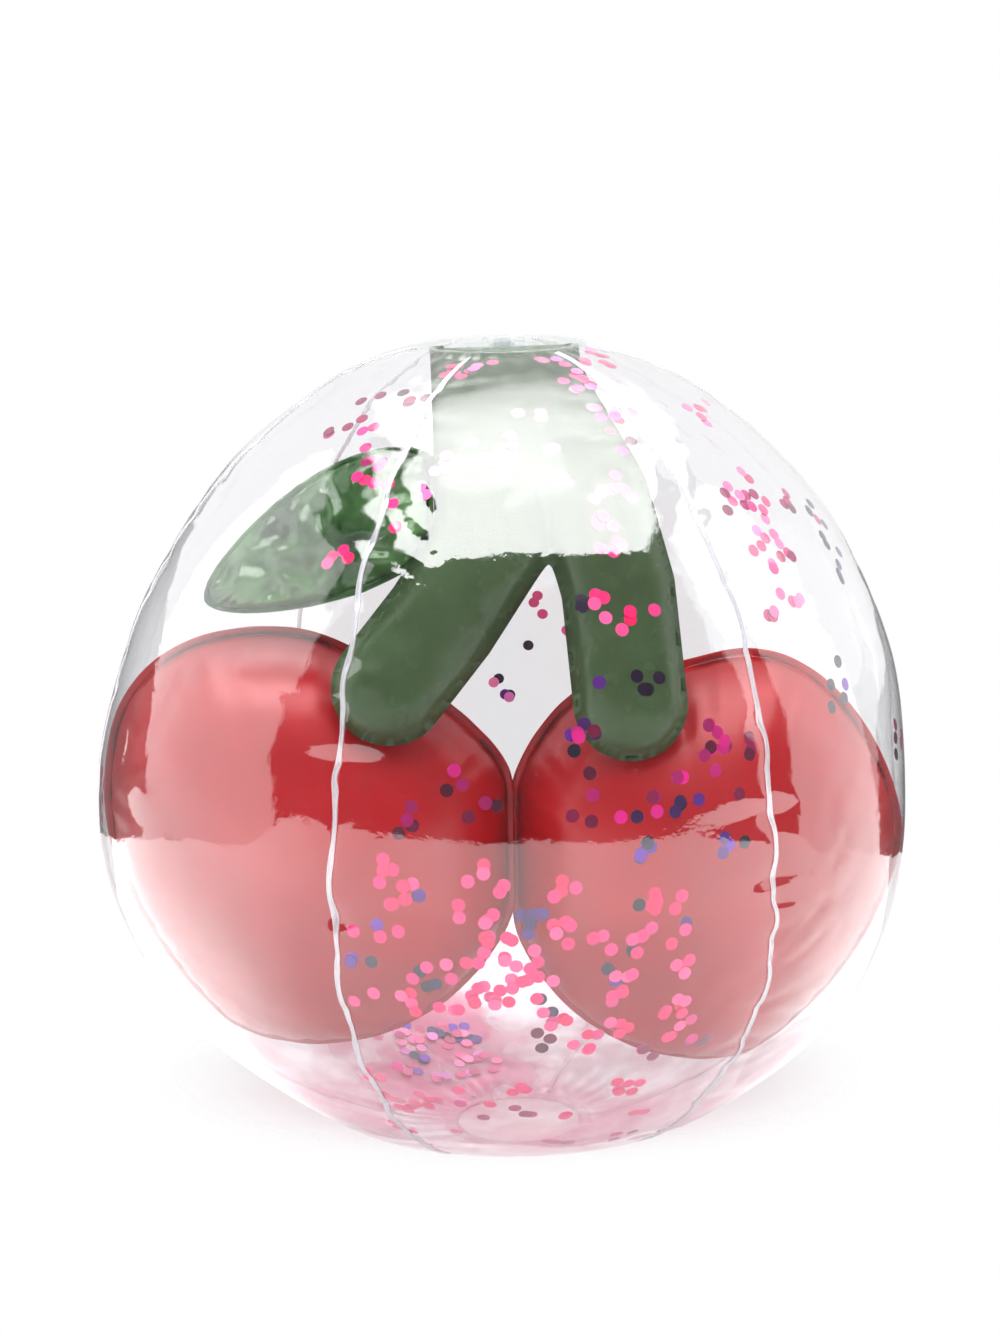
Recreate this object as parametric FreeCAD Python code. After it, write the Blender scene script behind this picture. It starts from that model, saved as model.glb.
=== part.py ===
"""An inflatable beach ball of clear film with an inflated pair of cherries sealed inside it.

Millimetres. +Z is up, the floor is z = 0, and the ball's pole axis is the Z axis.
The front of the ball is towards -Y. A turn round the ball is in degrees from the front towards +X.
"""
import FreeCAD, Part
import math
import os
import random

V = FreeCAD.Vector

# ---- the clear ball ----
ball_radius = 175.0          # widest circle, on the outside of the film
lower_depth = 153.0          # the lower half is a quarter ellipse this deep, cut by the bottom cap
upper_rise = 202.0           # the upper half is a quarter ellipse this tall, cut by the top cap
film = 0.3                   # thickness of every sheet of film
gore_count = 6
first_seam_turn = -23.6      # the seam just left of the front
bottom_cap_radius = 33.0
top_cap_radius = 35.5
cap_lap = 6.0                # how far a gore's end runs in under its cap
seam_width = 3.5             # one gore laps over the next by this much
lap_gap = 0.05               # between two welded layers that follow one curve
seam_end_gap = 0.6           # from a cap's rim to the end of a lap

# ---- the two valves: a soft tube that pushes in flush, with a stopper and a check flap ----
flange_radius = 15.0
flange_thick = 0.8
collar_radius = 8.0
collar_length = 5.0
tube_radius = 5.0
tube_bore_radius = 3.5
tube_travel = 14.0           # how far the tube pulls out for blowing up
rim_radius = 6.5
rim_thick = 1.2
stop_ring_radius = 6.2
stop_ring_thick = 1.2
stopper_head_radius = 6.0
stopper_head_thick = 1.4
plug_length = 8.0
plug_tip = 0.8               # bevel at the plug's end
pull_lip_length = 2.6
pull_lip_width = 4.0
strap_width = 3.0
strap_thick = 0.8
strap_reach = 3.0            # how far the strap's loop stands out beside the rim
flap_radius = 4.6
flap_thick = 0.5
flap_hinge_offset = 5.6      # from the tube's axis to the flap's bending line
flap_tab_width = 4.0
running_gap = 0.05           # radial, where one round piece slides in another
hole_gap = 0.3               # between the tube and the hole in the film
hole_reach = 30.0            # how far the hole is cut to each side of the film's outer face
rest_gap = 0.3               # under the pushed-in rim, and before the tube's stop
face_gap = 0.1               # between flat faces that part when a valve opens
ball_valve_gore = 3
ball_valve_drop = 42.0       # degrees below the widest circle, as the lower ellipse is drawn

# ---- the cherries: two sheets each, welded round the edge and blown up ----
weld_rim = 3.5
cherry_points = 48
cherry_rings = 7
cherry_dip = 0.09            # how deep the hollow at the top is, as a share of the height there
cherry_dip_angle = 17.0      # half-angle of that hollow, seen from the middle
wall_gap = 0.8               # between a cherry's rim and the clear film
middle_gap = 0.8             # between the two cherries' rims
cherries = {
    "left": {
        "middle": (-84.0, 132.5), "half_width": 91.0, "half_height": 95.0, "rise": 58.0, "tilt": 20.0,
        "shoulder": 0.17, "shoulder_angle": -62.0,
    },
    "right": {
        "middle": (83.0, 122.0), "half_width": 89.0, "half_height": 95.0, "rise": 62.0, "tilt": -7.0,
        "shoulder": 0.04, "shoulder_angle": 30.0,
    },
}
shoulder_spread = 28.0       # degrees, seen from the middle

# ---- the stems: one forked pair of sheets that hangs from the top cap and lies on the cherries ----
# each run is (across, drop) from the middle of the top cap, in the stems' own leaning plane
stem_runs = {
    "left": [(-4.0, -12.0), (-6.0, 84.0), (-28.0, 117.0), (-50.5, 145.0)],
    "right": [(2.0, -12.0), (9.0, 17.0), (36.5, 66.0), (46.5, 105.0), (50.5, 154.0)],
}
stem_half_widths = {"left": 22.0, "right": 21.5}
stem_rise = 13.0
neck_run = [(0.0, -12.0), (3.0, 40.0)]
neck_half_width = 28.0
neck_rise = 20.0
stem_weld_rim = 2.5
stem_seat_gap = 0.5          # from the stems to the cherries they lie on

# ---- the leaf, in the same leaning plane ----
leaf_tip = (-127.5, 107.0)
leaf_root = (-22.5, 56.0)
leaf_half_width = 27.5       # to the outside of the weld rim
leaf_fullness = 0.48         # lower is blunter at both ends
leaf_widest = 0.63           # how far from tip to root the leaf is widest
leaf_rise = 12.0
leaf_points = 32
leaf_rings = 5
leaf_weld_rim = 2.5

# ---- foil dots, loose in the air of the ball: small clumps of them cling to the film ----
dot_radius = 2.65
dot_sides = 8
dot_thick = 0.15
dot_gap = 0.3                # from a dot to the film, and round a dot of the same layer
dot_layers = (0.0, 0.4, 0.8)  # how much deeper a dot lies where others are between it and the film
dot_clump = 5.5              # how far aside and up or down a dot lies from its clump's middle, at most
clump_counts = (1, 1, 1, 2, 2, 3, 4)   # dots in a clump, each as likely as the next
dot_end_angle = 1.5          # degrees kept free beside the caps
rim_turn = 6.0               # no dots this near to the turns where the cherries' rims meet the film
rim_angles = (-62.0, 30.0)   # and between these angles up the film
dot_seed = 31
dots = {
    # colour: clusters of (how many, middle turn, middle angle up the film, half the spans of the two)
    "foil_dots_pink": [
        (84, -7, -5, 14, 11), (56, 15, -12, 10, 12), (36, 0, -40, 24, 11), (8, 14, 32, 9, 5),
        (7, -25, 46, 6, 7), (22, 20, 45, 6, 6), (8, 2, 50, 10, 7),
    ],
    "foil_dots_magenta": [
        (20, 20, 12, 12, 6), (12, -8, 13, 6, 5), (16, 60, 40, 16, 6), (16, -38, 61, 11, 7),
        (20, 4, -34, 26, 16), (7, 30, 14, 6, 5), (5, 31, 56, 4, 6), (7, -76, 5, 5, 5), (5, 76, 6, 5, 5),
    ],
    "foil_dots_purple": [
        (14, 23, 10, 9, 6), (6, 7, 20, 3, 3), (6, 15, 29, 7, 6), (5, 47, 22, 12, 8), (9, 74, 36, 6, 5),
        (12, -10, -5, 13, 9), (10, 13, -7, 12, 8), (14, 212, -66, 16, 7), (4, 178, 8, 5, 6),
    ],
    "foil_dots_rose": [
        (14, -16, 74.5, 12, 2.5), (14, 42, 74.5, 20, 2.5), (15, 30, 66, 6, 4), (10, 4, 58, 14, 6),
        (8, -10, 52, 8, 6), (16, 52, 43, 7, 6), (5, 66, 60, 7, 2), (6, 46, 30, 5, 5), (44, 212, -66, 18, 8),
        (6, 176, 8, 6, 8),
    ],
}

# ---- heights that follow from the sizes above ----
bottom_z = film                                       # the gores' ends lie on the bottom cap
belly_z = bottom_z + lower_depth * math.sqrt(1 - (bottom_cap_radius / ball_radius) ** 2)
top_z = belly_z + upper_rise * math.sqrt(1 - (top_cap_radius / ball_radius) ** 2)
gore_turn = 360.0 / gore_count
low_angle = -math.degrees(math.acos(bottom_cap_radius / ball_radius))    # up the film, at its caps
high_angle = math.degrees(math.acos(top_cap_radius / ball_radius))


def save(name, *solids):
    """Write one named piece, or a group of like pieces."""
    shape = solids[0] if len(solids) == 1 else Part.makeCompound(list(solids))
    shape.exportStep("parts/" + name + ".step")


def closed_face(*edges):
    return Part.Face(Part.Wire(Part.__sortEdges__(list(edges))))


# ---- the film's curve, from cap to cap ----

def film_radius(z, depth):
    """Radius at height z of the surface that lies depth inside the film's outer face."""
    height = (upper_rise if z > belly_z else lower_depth) - depth
    return (ball_radius - depth) * math.sqrt(1 - ((z - belly_z) / height) ** 2)


def film_height(radius, depth, height, side):
    """Height where that surface has this radius, above the belly (side 1) or below it (side -1)."""
    return belly_z + side * (height - depth) * math.sqrt(1 - (radius / (ball_radius - depth)) ** 2)


def quarter_arc(depth, height, side, end_radius):
    """The film's curve from the widest circle to end_radius, as one arc of an ellipse in the XZ plane."""
    across, tall = ball_radius - depth, height - depth
    centre, rim, pole = V(0, 0, belly_z), V(across, 0, belly_z), V(0, 0, belly_z + side * tall)
    curve = Part.Ellipse(rim, pole, centre) if across > tall else Part.Ellipse(pole, rim, centre)
    end = V(end_radius, 0, film_height(end_radius, depth, height, side))
    start_at, end_at = curve.parameter(rim), curve.parameter(end)
    if abs(end_at - start_at) > math.pi:
        start_at += 2 * math.pi if end_at > start_at else -2 * math.pi
    return Part.Edge(curve, min(start_at, end_at), max(start_at, end_at)), end


def shell_profile(outer_depth, inner_depth, low_radius, high_radius):
    """A thin strip in the XZ plane between two depths of the film's curve, cut off at two radii."""
    edges, ends = [], []
    for depth in (outer_depth, inner_depth):
        low_arc, low_end = quarter_arc(depth, lower_depth, -1, low_radius)
        high_arc, high_end = quarter_arc(depth, upper_rise, 1, high_radius)
        edges += [low_arc, high_arc]
        ends.append((low_end, high_end))
    return closed_face(*edges, Part.makeLine(ends[0][0], ends[1][0]), Part.makeLine(ends[0][1], ends[1][1]))


def gore_profile():
    """One gore's wall: the film's curve with a flat end under each cap."""
    low_outer, low_end = quarter_arc(0, lower_depth, -1, bottom_cap_radius)
    high_outer, high_end = quarter_arc(0, upper_rise, 1, top_cap_radius)
    low_inner, low_bend = quarter_arc(film, lower_depth, -1, film_radius(bottom_z + film, film))
    high_inner, high_bend = quarter_arc(film, upper_rise, 1, film_radius(top_z - film, film))
    low_tip = V(bottom_cap_radius - cap_lap, 0, bottom_z)
    high_tip = V(top_cap_radius - cap_lap, 0, top_z)
    up, down = V(0, 0, film), V(0, 0, -film)
    return closed_face(
        low_outer, high_outer, low_inner, high_inner,
        Part.makeLine(low_tip, low_end), Part.makeLine(low_tip, low_tip + up),
        Part.makeLine(low_tip + up, low_bend),
        Part.makeLine(high_tip, high_end), Part.makeLine(high_tip, high_tip + down),
        Part.makeLine(high_tip + down, high_bend),
    )


def slab(low_y, high_y):
    """A slab beside the XZ plane, taller and wider than the ball, on its +X side."""
    return Part.makeBox(ball_radius + 10, high_y - low_y, top_z + 20, V(1, low_y, -10))


def seam_lap():
    """The strip of a gore that steps out and over the next one, along the seam in the XZ plane."""
    lift = lap_gap + film
    low_radius, high_radius = bottom_cap_radius + seam_end_gap, top_cap_radius + seam_end_gap
    reach = math.degrees(math.atan2(2 * seam_width, bottom_cap_radius))
    over = shell_profile(-lift, -lap_gap, low_radius, high_radius).revolve(V(), V(0, 0, 1), reach)
    step = shell_profile(-lift, film, low_radius, high_radius).revolve(V(), V(0, 0, 1), -reach)
    return over.common(slab(0, seam_width)).fuse(step.common(slab(-film, 0)))


def make_gore():
    body = gore_profile().revolve(V(), V(0, 0, 1), gore_turn)
    lap = seam_lap()
    lap.rotate(V(), V(0, 0, 1), gore_turn)
    return body.fuse(lap).Solids[0]


# ---- valves ----

def lathe(points):
    """A turned solid from (radius, height) points, round the Z axis."""
    corners = [V(r, 0, z) for r, z in points]
    return Part.Face(Part.makePolygon(corners + corners[:1])).revolve(V(), V(0, 0, 1), 360).Solids[0]


def frame_at(origin, outward, side):
    """A placement whose Z axis is outward and whose X axis is side."""
    across = outward.cross(side)
    return FreeCAD.Placement(FreeCAD.Matrix(
        side.x, across.x, outward.x, origin.x,
        side.y, across.y, outward.y, origin.y,
        side.z, across.z, outward.z, origin.z,
        0, 0, 0, 1,
    ))


def placed(shape, place):
    moved = shape.copy()
    moved.Placement = place.multiply(moved.Placement)
    return moved


# a valve's own frame: Z outward, z = 0 on the outside of the film
collar_end = -(film + flange_thick + collar_length)
rim_top = rest_gap + rim_thick
stop_ring_top = collar_end - tube_travel - rest_gap
tube_end = stop_ring_top - stop_ring_thick


def valve_flange(doming):
    """The flange and its sleeve. The film domes up off a flat flange by this much at the middle."""
    inner = tube_radius + running_gap
    top = -(film + doming)
    under = top - flange_thick
    return lathe([
        (inner, collar_end), (collar_radius, collar_end), (collar_radius, under), (flange_radius, under),
        (flange_radius, top), (inner, top),
    ])


def valve_tube():
    return lathe([
        (tube_bore_radius, tube_end), (stop_ring_radius, tube_end), (stop_ring_radius, stop_ring_top),
        (tube_radius, stop_ring_top), (tube_radius, rest_gap), (rim_radius, rest_gap),
        (rim_radius, rim_top), (tube_bore_radius, rim_top),
    ])


def valve_stopper():
    plug_radius = tube_bore_radius - running_gap
    under = rim_top + face_gap
    top = under + stopper_head_thick
    tip = rim_top - plug_length
    body = lathe([
        (0, tip), (plug_radius - plug_tip, tip), (plug_radius, tip + plug_tip), (plug_radius, under),
        (stopper_head_radius, under), (stopper_head_radius, top), (0, top),
    ])
    lip = Part.makeBox(
        stopper_head_radius + pull_lip_length, pull_lip_width, stopper_head_thick,
        V(-stopper_head_radius - pull_lip_length, -pull_lip_width / 2, under),
    )
    return body.fuse(lip).Solids[0]


def valve_strap():
    """The loop that ties the stopper to the tube's rim, moulded at the rim and free at the stopper."""
    foot_z = rest_gap + (rim_thick - strap_thick) / 2
    head_z = rim_top + face_gap + (stopper_head_thick - strap_thick) / 2
    foot_x = rim_radius + lap_gap
    head_x = stopper_head_radius + rest_gap
    far_x = rim_radius + strap_reach
    corners = [
        (foot_x, foot_z), (far_x, foot_z), (far_x, head_z + strap_thick), (head_x, head_z + strap_thick),
        (head_x, head_z), (far_x - strap_thick, head_z),
        (far_x - strap_thick, foot_z + strap_thick), (foot_x, foot_z + strap_thick),
    ]
    wire = Part.makePolygon([V(x, -strap_width / 2, z) for x, z in corners + corners[:1]])
    return Part.Face(wire).extrude(V(0, strap_width, 0))


def valve_flap():
    """A thin disc that closes the tube's inner end and bends inward at its tab."""
    top = tube_end - face_gap
    disc = Part.makeCylinder(flap_radius, flap_thick, V(0, 0, top - flap_thick))
    tab = Part.makeBox(
        flap_hinge_offset, flap_tab_width, flap_thick,
        V(-flap_hinge_offset, -flap_tab_width / 2, top - flap_thick),
    )
    return disc.fuse(tab).Solids[0]


def make_valve(name, place, doming):
    pieces = {
        "flange": valve_flange(doming), "tube": valve_tube(), "stopper": valve_stopper(),
        "strap": valve_strap(), "flap": valve_flap(),
    }
    for piece, shape in pieces.items():
        save(name + "_" + piece, placed(shape, place))


def direction(turn):
    """The level direction at this turn round the ball."""
    return V(math.sin(math.radians(turn)), -math.cos(math.radians(turn)), 0)


def film_doming():
    """How far the curved film stands off a flat flange under it, at the flange's middle."""
    drop = math.radians(ball_valve_drop)
    bend = math.hypot(ball_radius * math.sin(drop), lower_depth * math.cos(drop)) ** 3
    curve_radius = bend / (ball_radius * lower_depth)
    return flange_radius ** 2 / (2 * (curve_radius - film)) + lap_gap


def ball_valve_place():
    """On the outside of the film, in the middle of its gore."""
    turn = first_seam_turn + gore_turn * (ball_valve_gore - 0.5)
    drop = math.radians(ball_valve_drop)
    out = direction(turn)
    point = out * (ball_radius * math.cos(drop)) + V(0, 0, belly_z - lower_depth * math.sin(drop))
    outward = out * (math.cos(drop) / ball_radius) - V(0, 0, math.sin(drop) / lower_depth)
    return frame_at(point, outward.normalize(), direction(turn + 90))


# ---- inflated pieces ----

def inside_wall(point, middle):
    """The point pulled towards the middle until it is clear of the ball's film and of the other cherry."""
    reach_x, reach_z = point[0] - middle[0], point[1] - middle[1]
    share = 1.0
    across = ball_radius - film - wall_gap
    for tall, side in ((upper_rise, 1), (lower_depth, -1)):
        tall -= film + wall_gap
        a = (reach_x / across) ** 2 + (reach_z / tall) ** 2
        b = 2 * (middle[0] * reach_x / across ** 2 + (middle[1] - belly_z) * reach_z / tall ** 2)
        c = (middle[0] / across) ** 2 + ((middle[1] - belly_z) / tall) ** 2 - 1
        to_wall = (-b + math.sqrt(b * b - 4 * a * c)) / (2 * a)
        if (middle[1] + to_wall * reach_z - belly_z) * side >= 0:
            share = min(share, to_wall)
    to_middle = abs(middle[0]) - middle_gap / 2
    if reach_x * middle[0] < 0:
        share = min(share, to_middle / abs(reach_x))
    return middle[0] + share * reach_x, middle[1] + share * reach_z


def cherry_edge(cherry, angle):
    """A point of the outside of the cherry's weld rim, at this angle from its own top, in the XZ plane."""
    turned = (angle + 180) % 360 - 180
    wide, tall = cherry["half_width"], cherry["half_height"]
    radius = 1 / math.hypot(math.sin(math.radians(turned)) / wide, math.cos(math.radians(turned)) / tall)
    radius *= 1 - cherry_dip * math.exp(-(turned / cherry_dip_angle) ** 2)
    radius *= 1 + cherry["shoulder"] * math.exp(-((turned - cherry["shoulder_angle"]) / shoulder_spread) ** 2)
    lean = math.radians(angle + cherry["tilt"])
    x, z = cherry["middle"]
    return inside_wall((x + radius * math.sin(lean), z + radius * math.cos(lean)), cherry["middle"])


def pillow_sheet(edge, middle, rim, rise, rings):
    """One blown-up sheet on z >= 0 inside a closed edge of (x, y) points: a flat weld rim round a bulge.

    Its section is a closed line of (step in from the edge, share of the way that is left, height),
    and each of its corners becomes a ring of points.
    """
    bends = [math.pi / 2 * k / rings for k in range(rings)]
    section = [(0, 1, 0), (0, 1, film)]
    section += [(rim, math.cos(bend), film + rise * math.sin(bend)) for bend in bends]
    section += [(0, 0, film + rise), (0, 0, rise)]
    section += [(rim + film, math.cos(bend), rise * math.sin(bend)) for bend in reversed(bends)]

    def ring(inset, share, height):
        points = []
        for x, y in edge:
            out = share * (1 - inset / math.dist((x, y), middle))
            points.append(V(middle[0] + out * (x - middle[0]), middle[1] + out * (y - middle[1]), height))
        return points

    rings_of_points = [ring(*corner) for corner in section]
    faces = []
    for (_, share, _), (_, next_share, _), inner, outer in zip(
            section, section[1:] + section[:1], rings_of_points, rings_of_points[1:] + rings_of_points[:1]):
        for k in range(len(edge)):
            after = (k + 1) % len(edge)
            if share and next_share:
                corners = [inner[k], inner[after], outer[after], outer[k]]
            elif share:
                corners = [inner[k], inner[after], outer[k]]
            elif next_share:
                corners = [inner[k], outer[after], outer[k]]
            else:
                continue
            faces.append(Part.Face(Part.makePolygon(corners + corners[:1])))
    solid = Part.makeSolid(Part.makeShell(faces))
    return solid if solid.Volume > 0 else solid.reversed()


def back_of(sheet):
    """The matching sheet on the other side of the weld."""
    return sheet.mirror(V(), V(0, 0, 1))


# the cherries' sheets are drawn flat and stood up, with their front towards -Y
upright = frame_at(V(), V(0, -1, 0), V(1, 0, 0))


def make_cherry(side):
    cherry = cherries[side]
    edge = [cherry_edge(cherry, 360.0 * k / cherry_points) for k in range(cherry_points)]
    sheet = pillow_sheet(edge, cherry["middle"], weld_rim, cherry["rise"], cherry_rings)
    save("cherry_" + side + "_front", placed(sheet, upright))
    save("cherry_" + side + "_back", placed(back_of(sheet), upright))


def cherry_depth(cherry, x, z):
    """How far the cherry's front stands out from its weld plane at this point."""
    reach_x, reach_z = x - cherry["middle"][0], z - cherry["middle"][1]
    angle = math.degrees(math.atan2(reach_x, reach_z)) - cherry["tilt"]
    weld_reach = math.dist(cherry_edge(cherry, angle), cherry["middle"]) - weld_rim
    share = math.hypot(reach_x, reach_z) / weld_reach
    return cherry["rise"] * math.sqrt(1 - share ** 2) if share < 1 else 0.0


def bulge(offset, half_width, rise):
    """Height of a round-backed strip at this offset from its middle line, down to its flat weld rim."""
    if abs(offset) >= half_width:
        return film
    radius = (half_width ** 2 + rise ** 2) / (2 * rise)
    return max(film, math.sqrt(radius ** 2 - offset ** 2) - (radius - rise))


def stem_lean():
    """The angle at which the stems hang so that their backs lie on the fronts of the cherries.

    Each stem's lower length is felt at points across it and down to its tip, against the cherry behind.
    """
    lean = math.radians(18)
    rounds, steps = 12, 10
    for _ in range(rounds):
        steepest = 0.0
        for side, run in stem_runs.items():
            half_width = stem_half_widths[side]
            (x0, drop0), (x1, drop1) = run[-2:]
            for down in range(steps + 1):
                drop = drop0 + (drop1 + half_width - drop0) * down / steps
                past_end = max(0.0, drop - drop1)
                axis = x0 + (x1 - x0) * min(1.0, (drop - drop0) / (drop1 - drop0))
                for over in range(-steps, steps + 1):
                    offset = (half_width + stem_weld_rim) * over / steps
                    back = bulge(math.hypot(offset, past_end), half_width, stem_rise)
                    z = top_z - drop * math.cos(lean) - back * math.sin(lean)
                    need = cherry_depth(cherries[side], axis + offset, z) + back * math.cos(lean)
                    steepest = max(steepest, (need + stem_seat_gap) / drop)
        lean = math.asin(steepest)
    return lean


def strip_half(run, half_width, rise):
    """The z >= 0 half of a round-backed strip along a run of (x, y) points, with rounded ends."""
    radius = (half_width ** 2 + rise ** 2) / (2 * rise)
    arc = Part.Arc(V(-half_width, 0, 0), V(0, 0, rise), V(half_width, 0, 0)).toShape()
    across = closed_face(arc, Part.makeLine(V(-half_width, 0, 0), V(half_width, 0, 0)))
    dome = Part.makeSphere(radius, V(0, 0, rise - radius)).common(
        Part.makeBox(4 * radius, 4 * radius, 2 * rise, V(-2 * radius, -2 * radius, 0)))
    pieces = []
    for x, y in run:
        end = dome.copy()
        end.translate(V(x, y, 0))
        pieces.append(end)
    for (x0, y0), (x1, y1) in zip(run, run[1:]):
        length = math.dist((x0, y0), (x1, y1))
        stretch = across.extrude(V(0, length, 0))
        stretch.rotate(V(), V(0, 0, 1), math.degrees(math.atan2(y1 - y0, x1 - x0)) - 90)
        stretch.translate(V(x0, y0, 0))
        pieces.append(stretch)
    return pieces


def strip_rim(run, half_width, thick):
    """A flat band of this half-width along the run, with round ends."""
    pieces = [Part.makeCylinder(half_width, thick, V(x, y, 0)) for x, y in run]
    for (x0, y0), (x1, y1) in zip(run, run[1:]):
        length = math.dist((x0, y0), (x1, y1))
        band = Part.makeBox(2 * half_width, length, thick, V(-half_width, 0, 0))
        band.rotate(V(), V(0, 0, 1), math.degrees(math.atan2(y1 - y0, x1 - x0)) - 90)
        band.translate(V(x0, y0, 0))
        pieces.append(band)
    return pieces


def make_stems(lean):
    runs = [(run, stem_half_widths[side], stem_rise) for side, run in stem_runs.items()]
    runs.append((neck_run, neck_half_width, neck_rise))
    outer, hollow = [], []
    for drops, half_width, rise in runs:
        run = [(x, -drop) for x, drop in drops]
        outer += strip_half(run, half_width, rise)
        outer += strip_rim(run, half_width + stem_weld_rim, film)
        hollow += strip_half(run, half_width - film, rise - film)
    full = outer[0].multiFuse(outer[1:])
    sheet = full.cut(hollow[0].multiFuse(hollow[1:]))
    leaning = frame_at(V(0, 0, top_z), V(0, -math.cos(lean), math.sin(lean)), V(1, 0, 0))
    room = 2 * ball_radius
    below_cap = Part.makeBox(room, room, room, V(-room / 2, -room / 2, top_z - film - room))
    for name, half in (("stems_front", sheet), ("stems_back", back_of(sheet))):
        save(name, placed(half, leaning).common(below_cap).Solids[0])
    return leaning


def beside_stem(point):
    """How far a point of the leaning plane stands out from the left stem's axis, on the leaf's side."""
    (x0, drop0), (x1, drop1) = stem_runs["left"][1:3]
    run = math.dist((x0, drop0), (x1, drop1))
    below = (point[0] - x0) * (drop0 - drop1) + (point[1] - drop0) * (x1 - x0)
    above = (x0 - point[0]) * (drop1 - drop0)
    return min(below, above * run / (drop1 - drop0)) / run


def leaf_edge(middle):
    """The outside of the leaf's weld rim: blunt at both ends, and cut off where the stem's bulge begins."""
    length = math.dist(leaf_tip, leaf_root)
    along = ((leaf_root[0] - leaf_tip[0]) / length, (leaf_root[1] - leaf_tip[1]) / length)
    stem_side = stem_half_widths["left"] + stem_seat_gap
    edge = []
    for k in range(leaf_points):
        turn = 2 * math.pi * (k + 0.5) / leaf_points
        share = (1 - math.cos(turn)) / 2
        swell = math.sin(math.pi * share ** (math.log(0.5) / math.log(leaf_widest)))
        width = leaf_half_width * swell ** leaf_fullness * (1 if turn < math.pi else -1)
        point = (
            leaf_tip[0] + along[0] * share * length - along[1] * width,
            leaf_tip[1] + along[1] * share * length + along[0] * width,
        )
        room, stand = beside_stem(middle) - stem_side, beside_stem(middle) - beside_stem(point)
        pull = min(1.0, room / stand) if stand > 0 else 1.0
        edge.append(tuple(m + pull * (p - m) for p, m in zip(point, middle)))
    return edge


def make_leaf(leaning):
    """The leaf's rim lies on the back of the stem's rim, and stops at the side of the stem's bulge."""
    middle = tuple((tip + root) / 2 for tip, root in zip(leaf_tip, leaf_root))
    edge = [(x, -drop) for x, drop in leaf_edge(middle)]
    sheet = pillow_sheet(edge, (middle[0], -middle[1]), leaf_weld_rim, leaf_rise, leaf_rings)
    behind = V(0, 0, -2 * film)
    for name, half in (("leaf_front", sheet), ("leaf_back", back_of(sheet))):
        half = half.copy()
        half.translate(behind)
        save(name, placed(half, leaning))


# ---- foil dots ----

def film_place(turn, angle, depth):
    """A placement this deep inside the film's outer face, at this turn and angle up it, with Z outward."""
    bend = math.radians(angle)
    across, tall = ball_radius - depth, (upper_rise if angle > 0 else lower_depth) - depth
    out = direction(turn)
    outward = out * (math.cos(bend) / across) + V(0, 0, math.sin(bend) / tall)
    point = out * (across * math.cos(bend)) + V(0, 0, belly_z + tall * math.sin(bend))
    return frame_at(point, outward.normalize(), direction(turn + 90))


def clump_spots(clusters, draw):
    """(turn, angle) of one colour's dots, in clumps that are thrown round the middle of each cluster."""
    for count, turn, angle, turn_reach, angle_reach in clusters:
        thrown = 0
        while thrown < count:
            clump_turn = turn + draw.uniform(-turn_reach, turn_reach)
            clump_angle = angle + draw.uniform(-angle_reach, angle_reach)
            for _ in range(draw.choice(clump_counts)):
                aside, up = draw.uniform(-dot_clump, dot_clump), draw.uniform(-dot_clump, dot_clump)
                spot_angle = clump_angle + math.degrees(up / ball_radius)
                spot_angle = max(low_angle + dot_end_angle, min(high_angle - dot_end_angle, spot_angle))
                radius = ball_radius * math.cos(math.radians(spot_angle))
                yield clump_turn + math.degrees(aside / radius), spot_angle
                thrown += 1


def beside_cherry_rim(turn, angle):
    """Whether a dot here would be where a cherry's rim comes close to the film."""
    from_side = abs(turn % 180 - 90)
    return from_side < rim_turn and rim_angles[0] < angle < rim_angles[1]


def make_dots(name, clusters, draw, taken):
    """One colour's dots, each in the outermost layer that is free there. Taken holds every layer's dots."""
    corners = []
    for k in range(dot_sides):
        turn = 2 * math.pi * k / dot_sides
        corners.append(V(dot_radius * math.cos(turn), dot_radius * math.sin(turn), -dot_thick))
    dot = Part.Face(Part.makePolygon(corners + corners[:1])).extrude(V(0, 0, dot_thick))
    group = []
    for turn, angle in clump_spots(clusters, draw):
        if beside_cherry_rim(turn, angle):
            continue
        spot = film_place(turn, angle, 0).Base
        for deeper, layer in zip(dot_layers, taken):
            if all(spot.distanceToPoint(other) > 2 * dot_radius + dot_gap for other in layer):
                layer.append(spot)
                group.append(placed(dot, film_place(turn, angle, film + dot_gap + deeper)))
                break
    save(name, *group)


# ---- build ----

def build():
    os.makedirs("parts", exist_ok=True)
    gore = make_gore()
    valve_place = ball_valve_place()
    drill = Part.makeCylinder(tube_radius + hole_gap, 2 * hole_reach, V(0, 0, -hole_reach))
    top_place = FreeCAD.Placement(V(0, 0, top_z + film), FreeCAD.Rotation())
    for number in range(1, gore_count + 1):
        piece = gore.copy()
        piece.rotate(V(), V(0, 0, 1), first_seam_turn - 90 + gore_turn * (number - 1))
        if number == ball_valve_gore:
            piece = piece.cut(placed(drill, valve_place)).Solids[0]
        save("clear_gore_" + str(number), piece)
    save("bottom_cap", Part.makeCylinder(bottom_cap_radius, film))
    top_cap = Part.makeCylinder(top_cap_radius, film, V(0, 0, top_z))
    save("top_cap", top_cap.cut(placed(drill, top_place)))

    make_valve("ball_valve", valve_place, film_doming())
    make_valve("figure_valve", top_place, 0)

    for side in cherries:
        make_cherry(side)
    leaning = make_stems(stem_lean())
    make_leaf(leaning)
    draw, taken = random.Random(dot_seed), [[] for _ in dot_layers]
    for name, clusters in dots.items():
        make_dots(name, clusters, draw, taken)


build()
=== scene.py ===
"""The looks of a clear blown-up beach ball with an inflated pair of cherries sealed inside it.

Metres. +Z is up, the floor is z = 0, the ball's pole axis is the Z axis and its front faces -Y.
A turn round the ball is in degrees from the front towards +X, and an angle up the ball is in
degrees from the widest circle, as each half's ellipse is drawn.
"""
import math
import random

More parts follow.
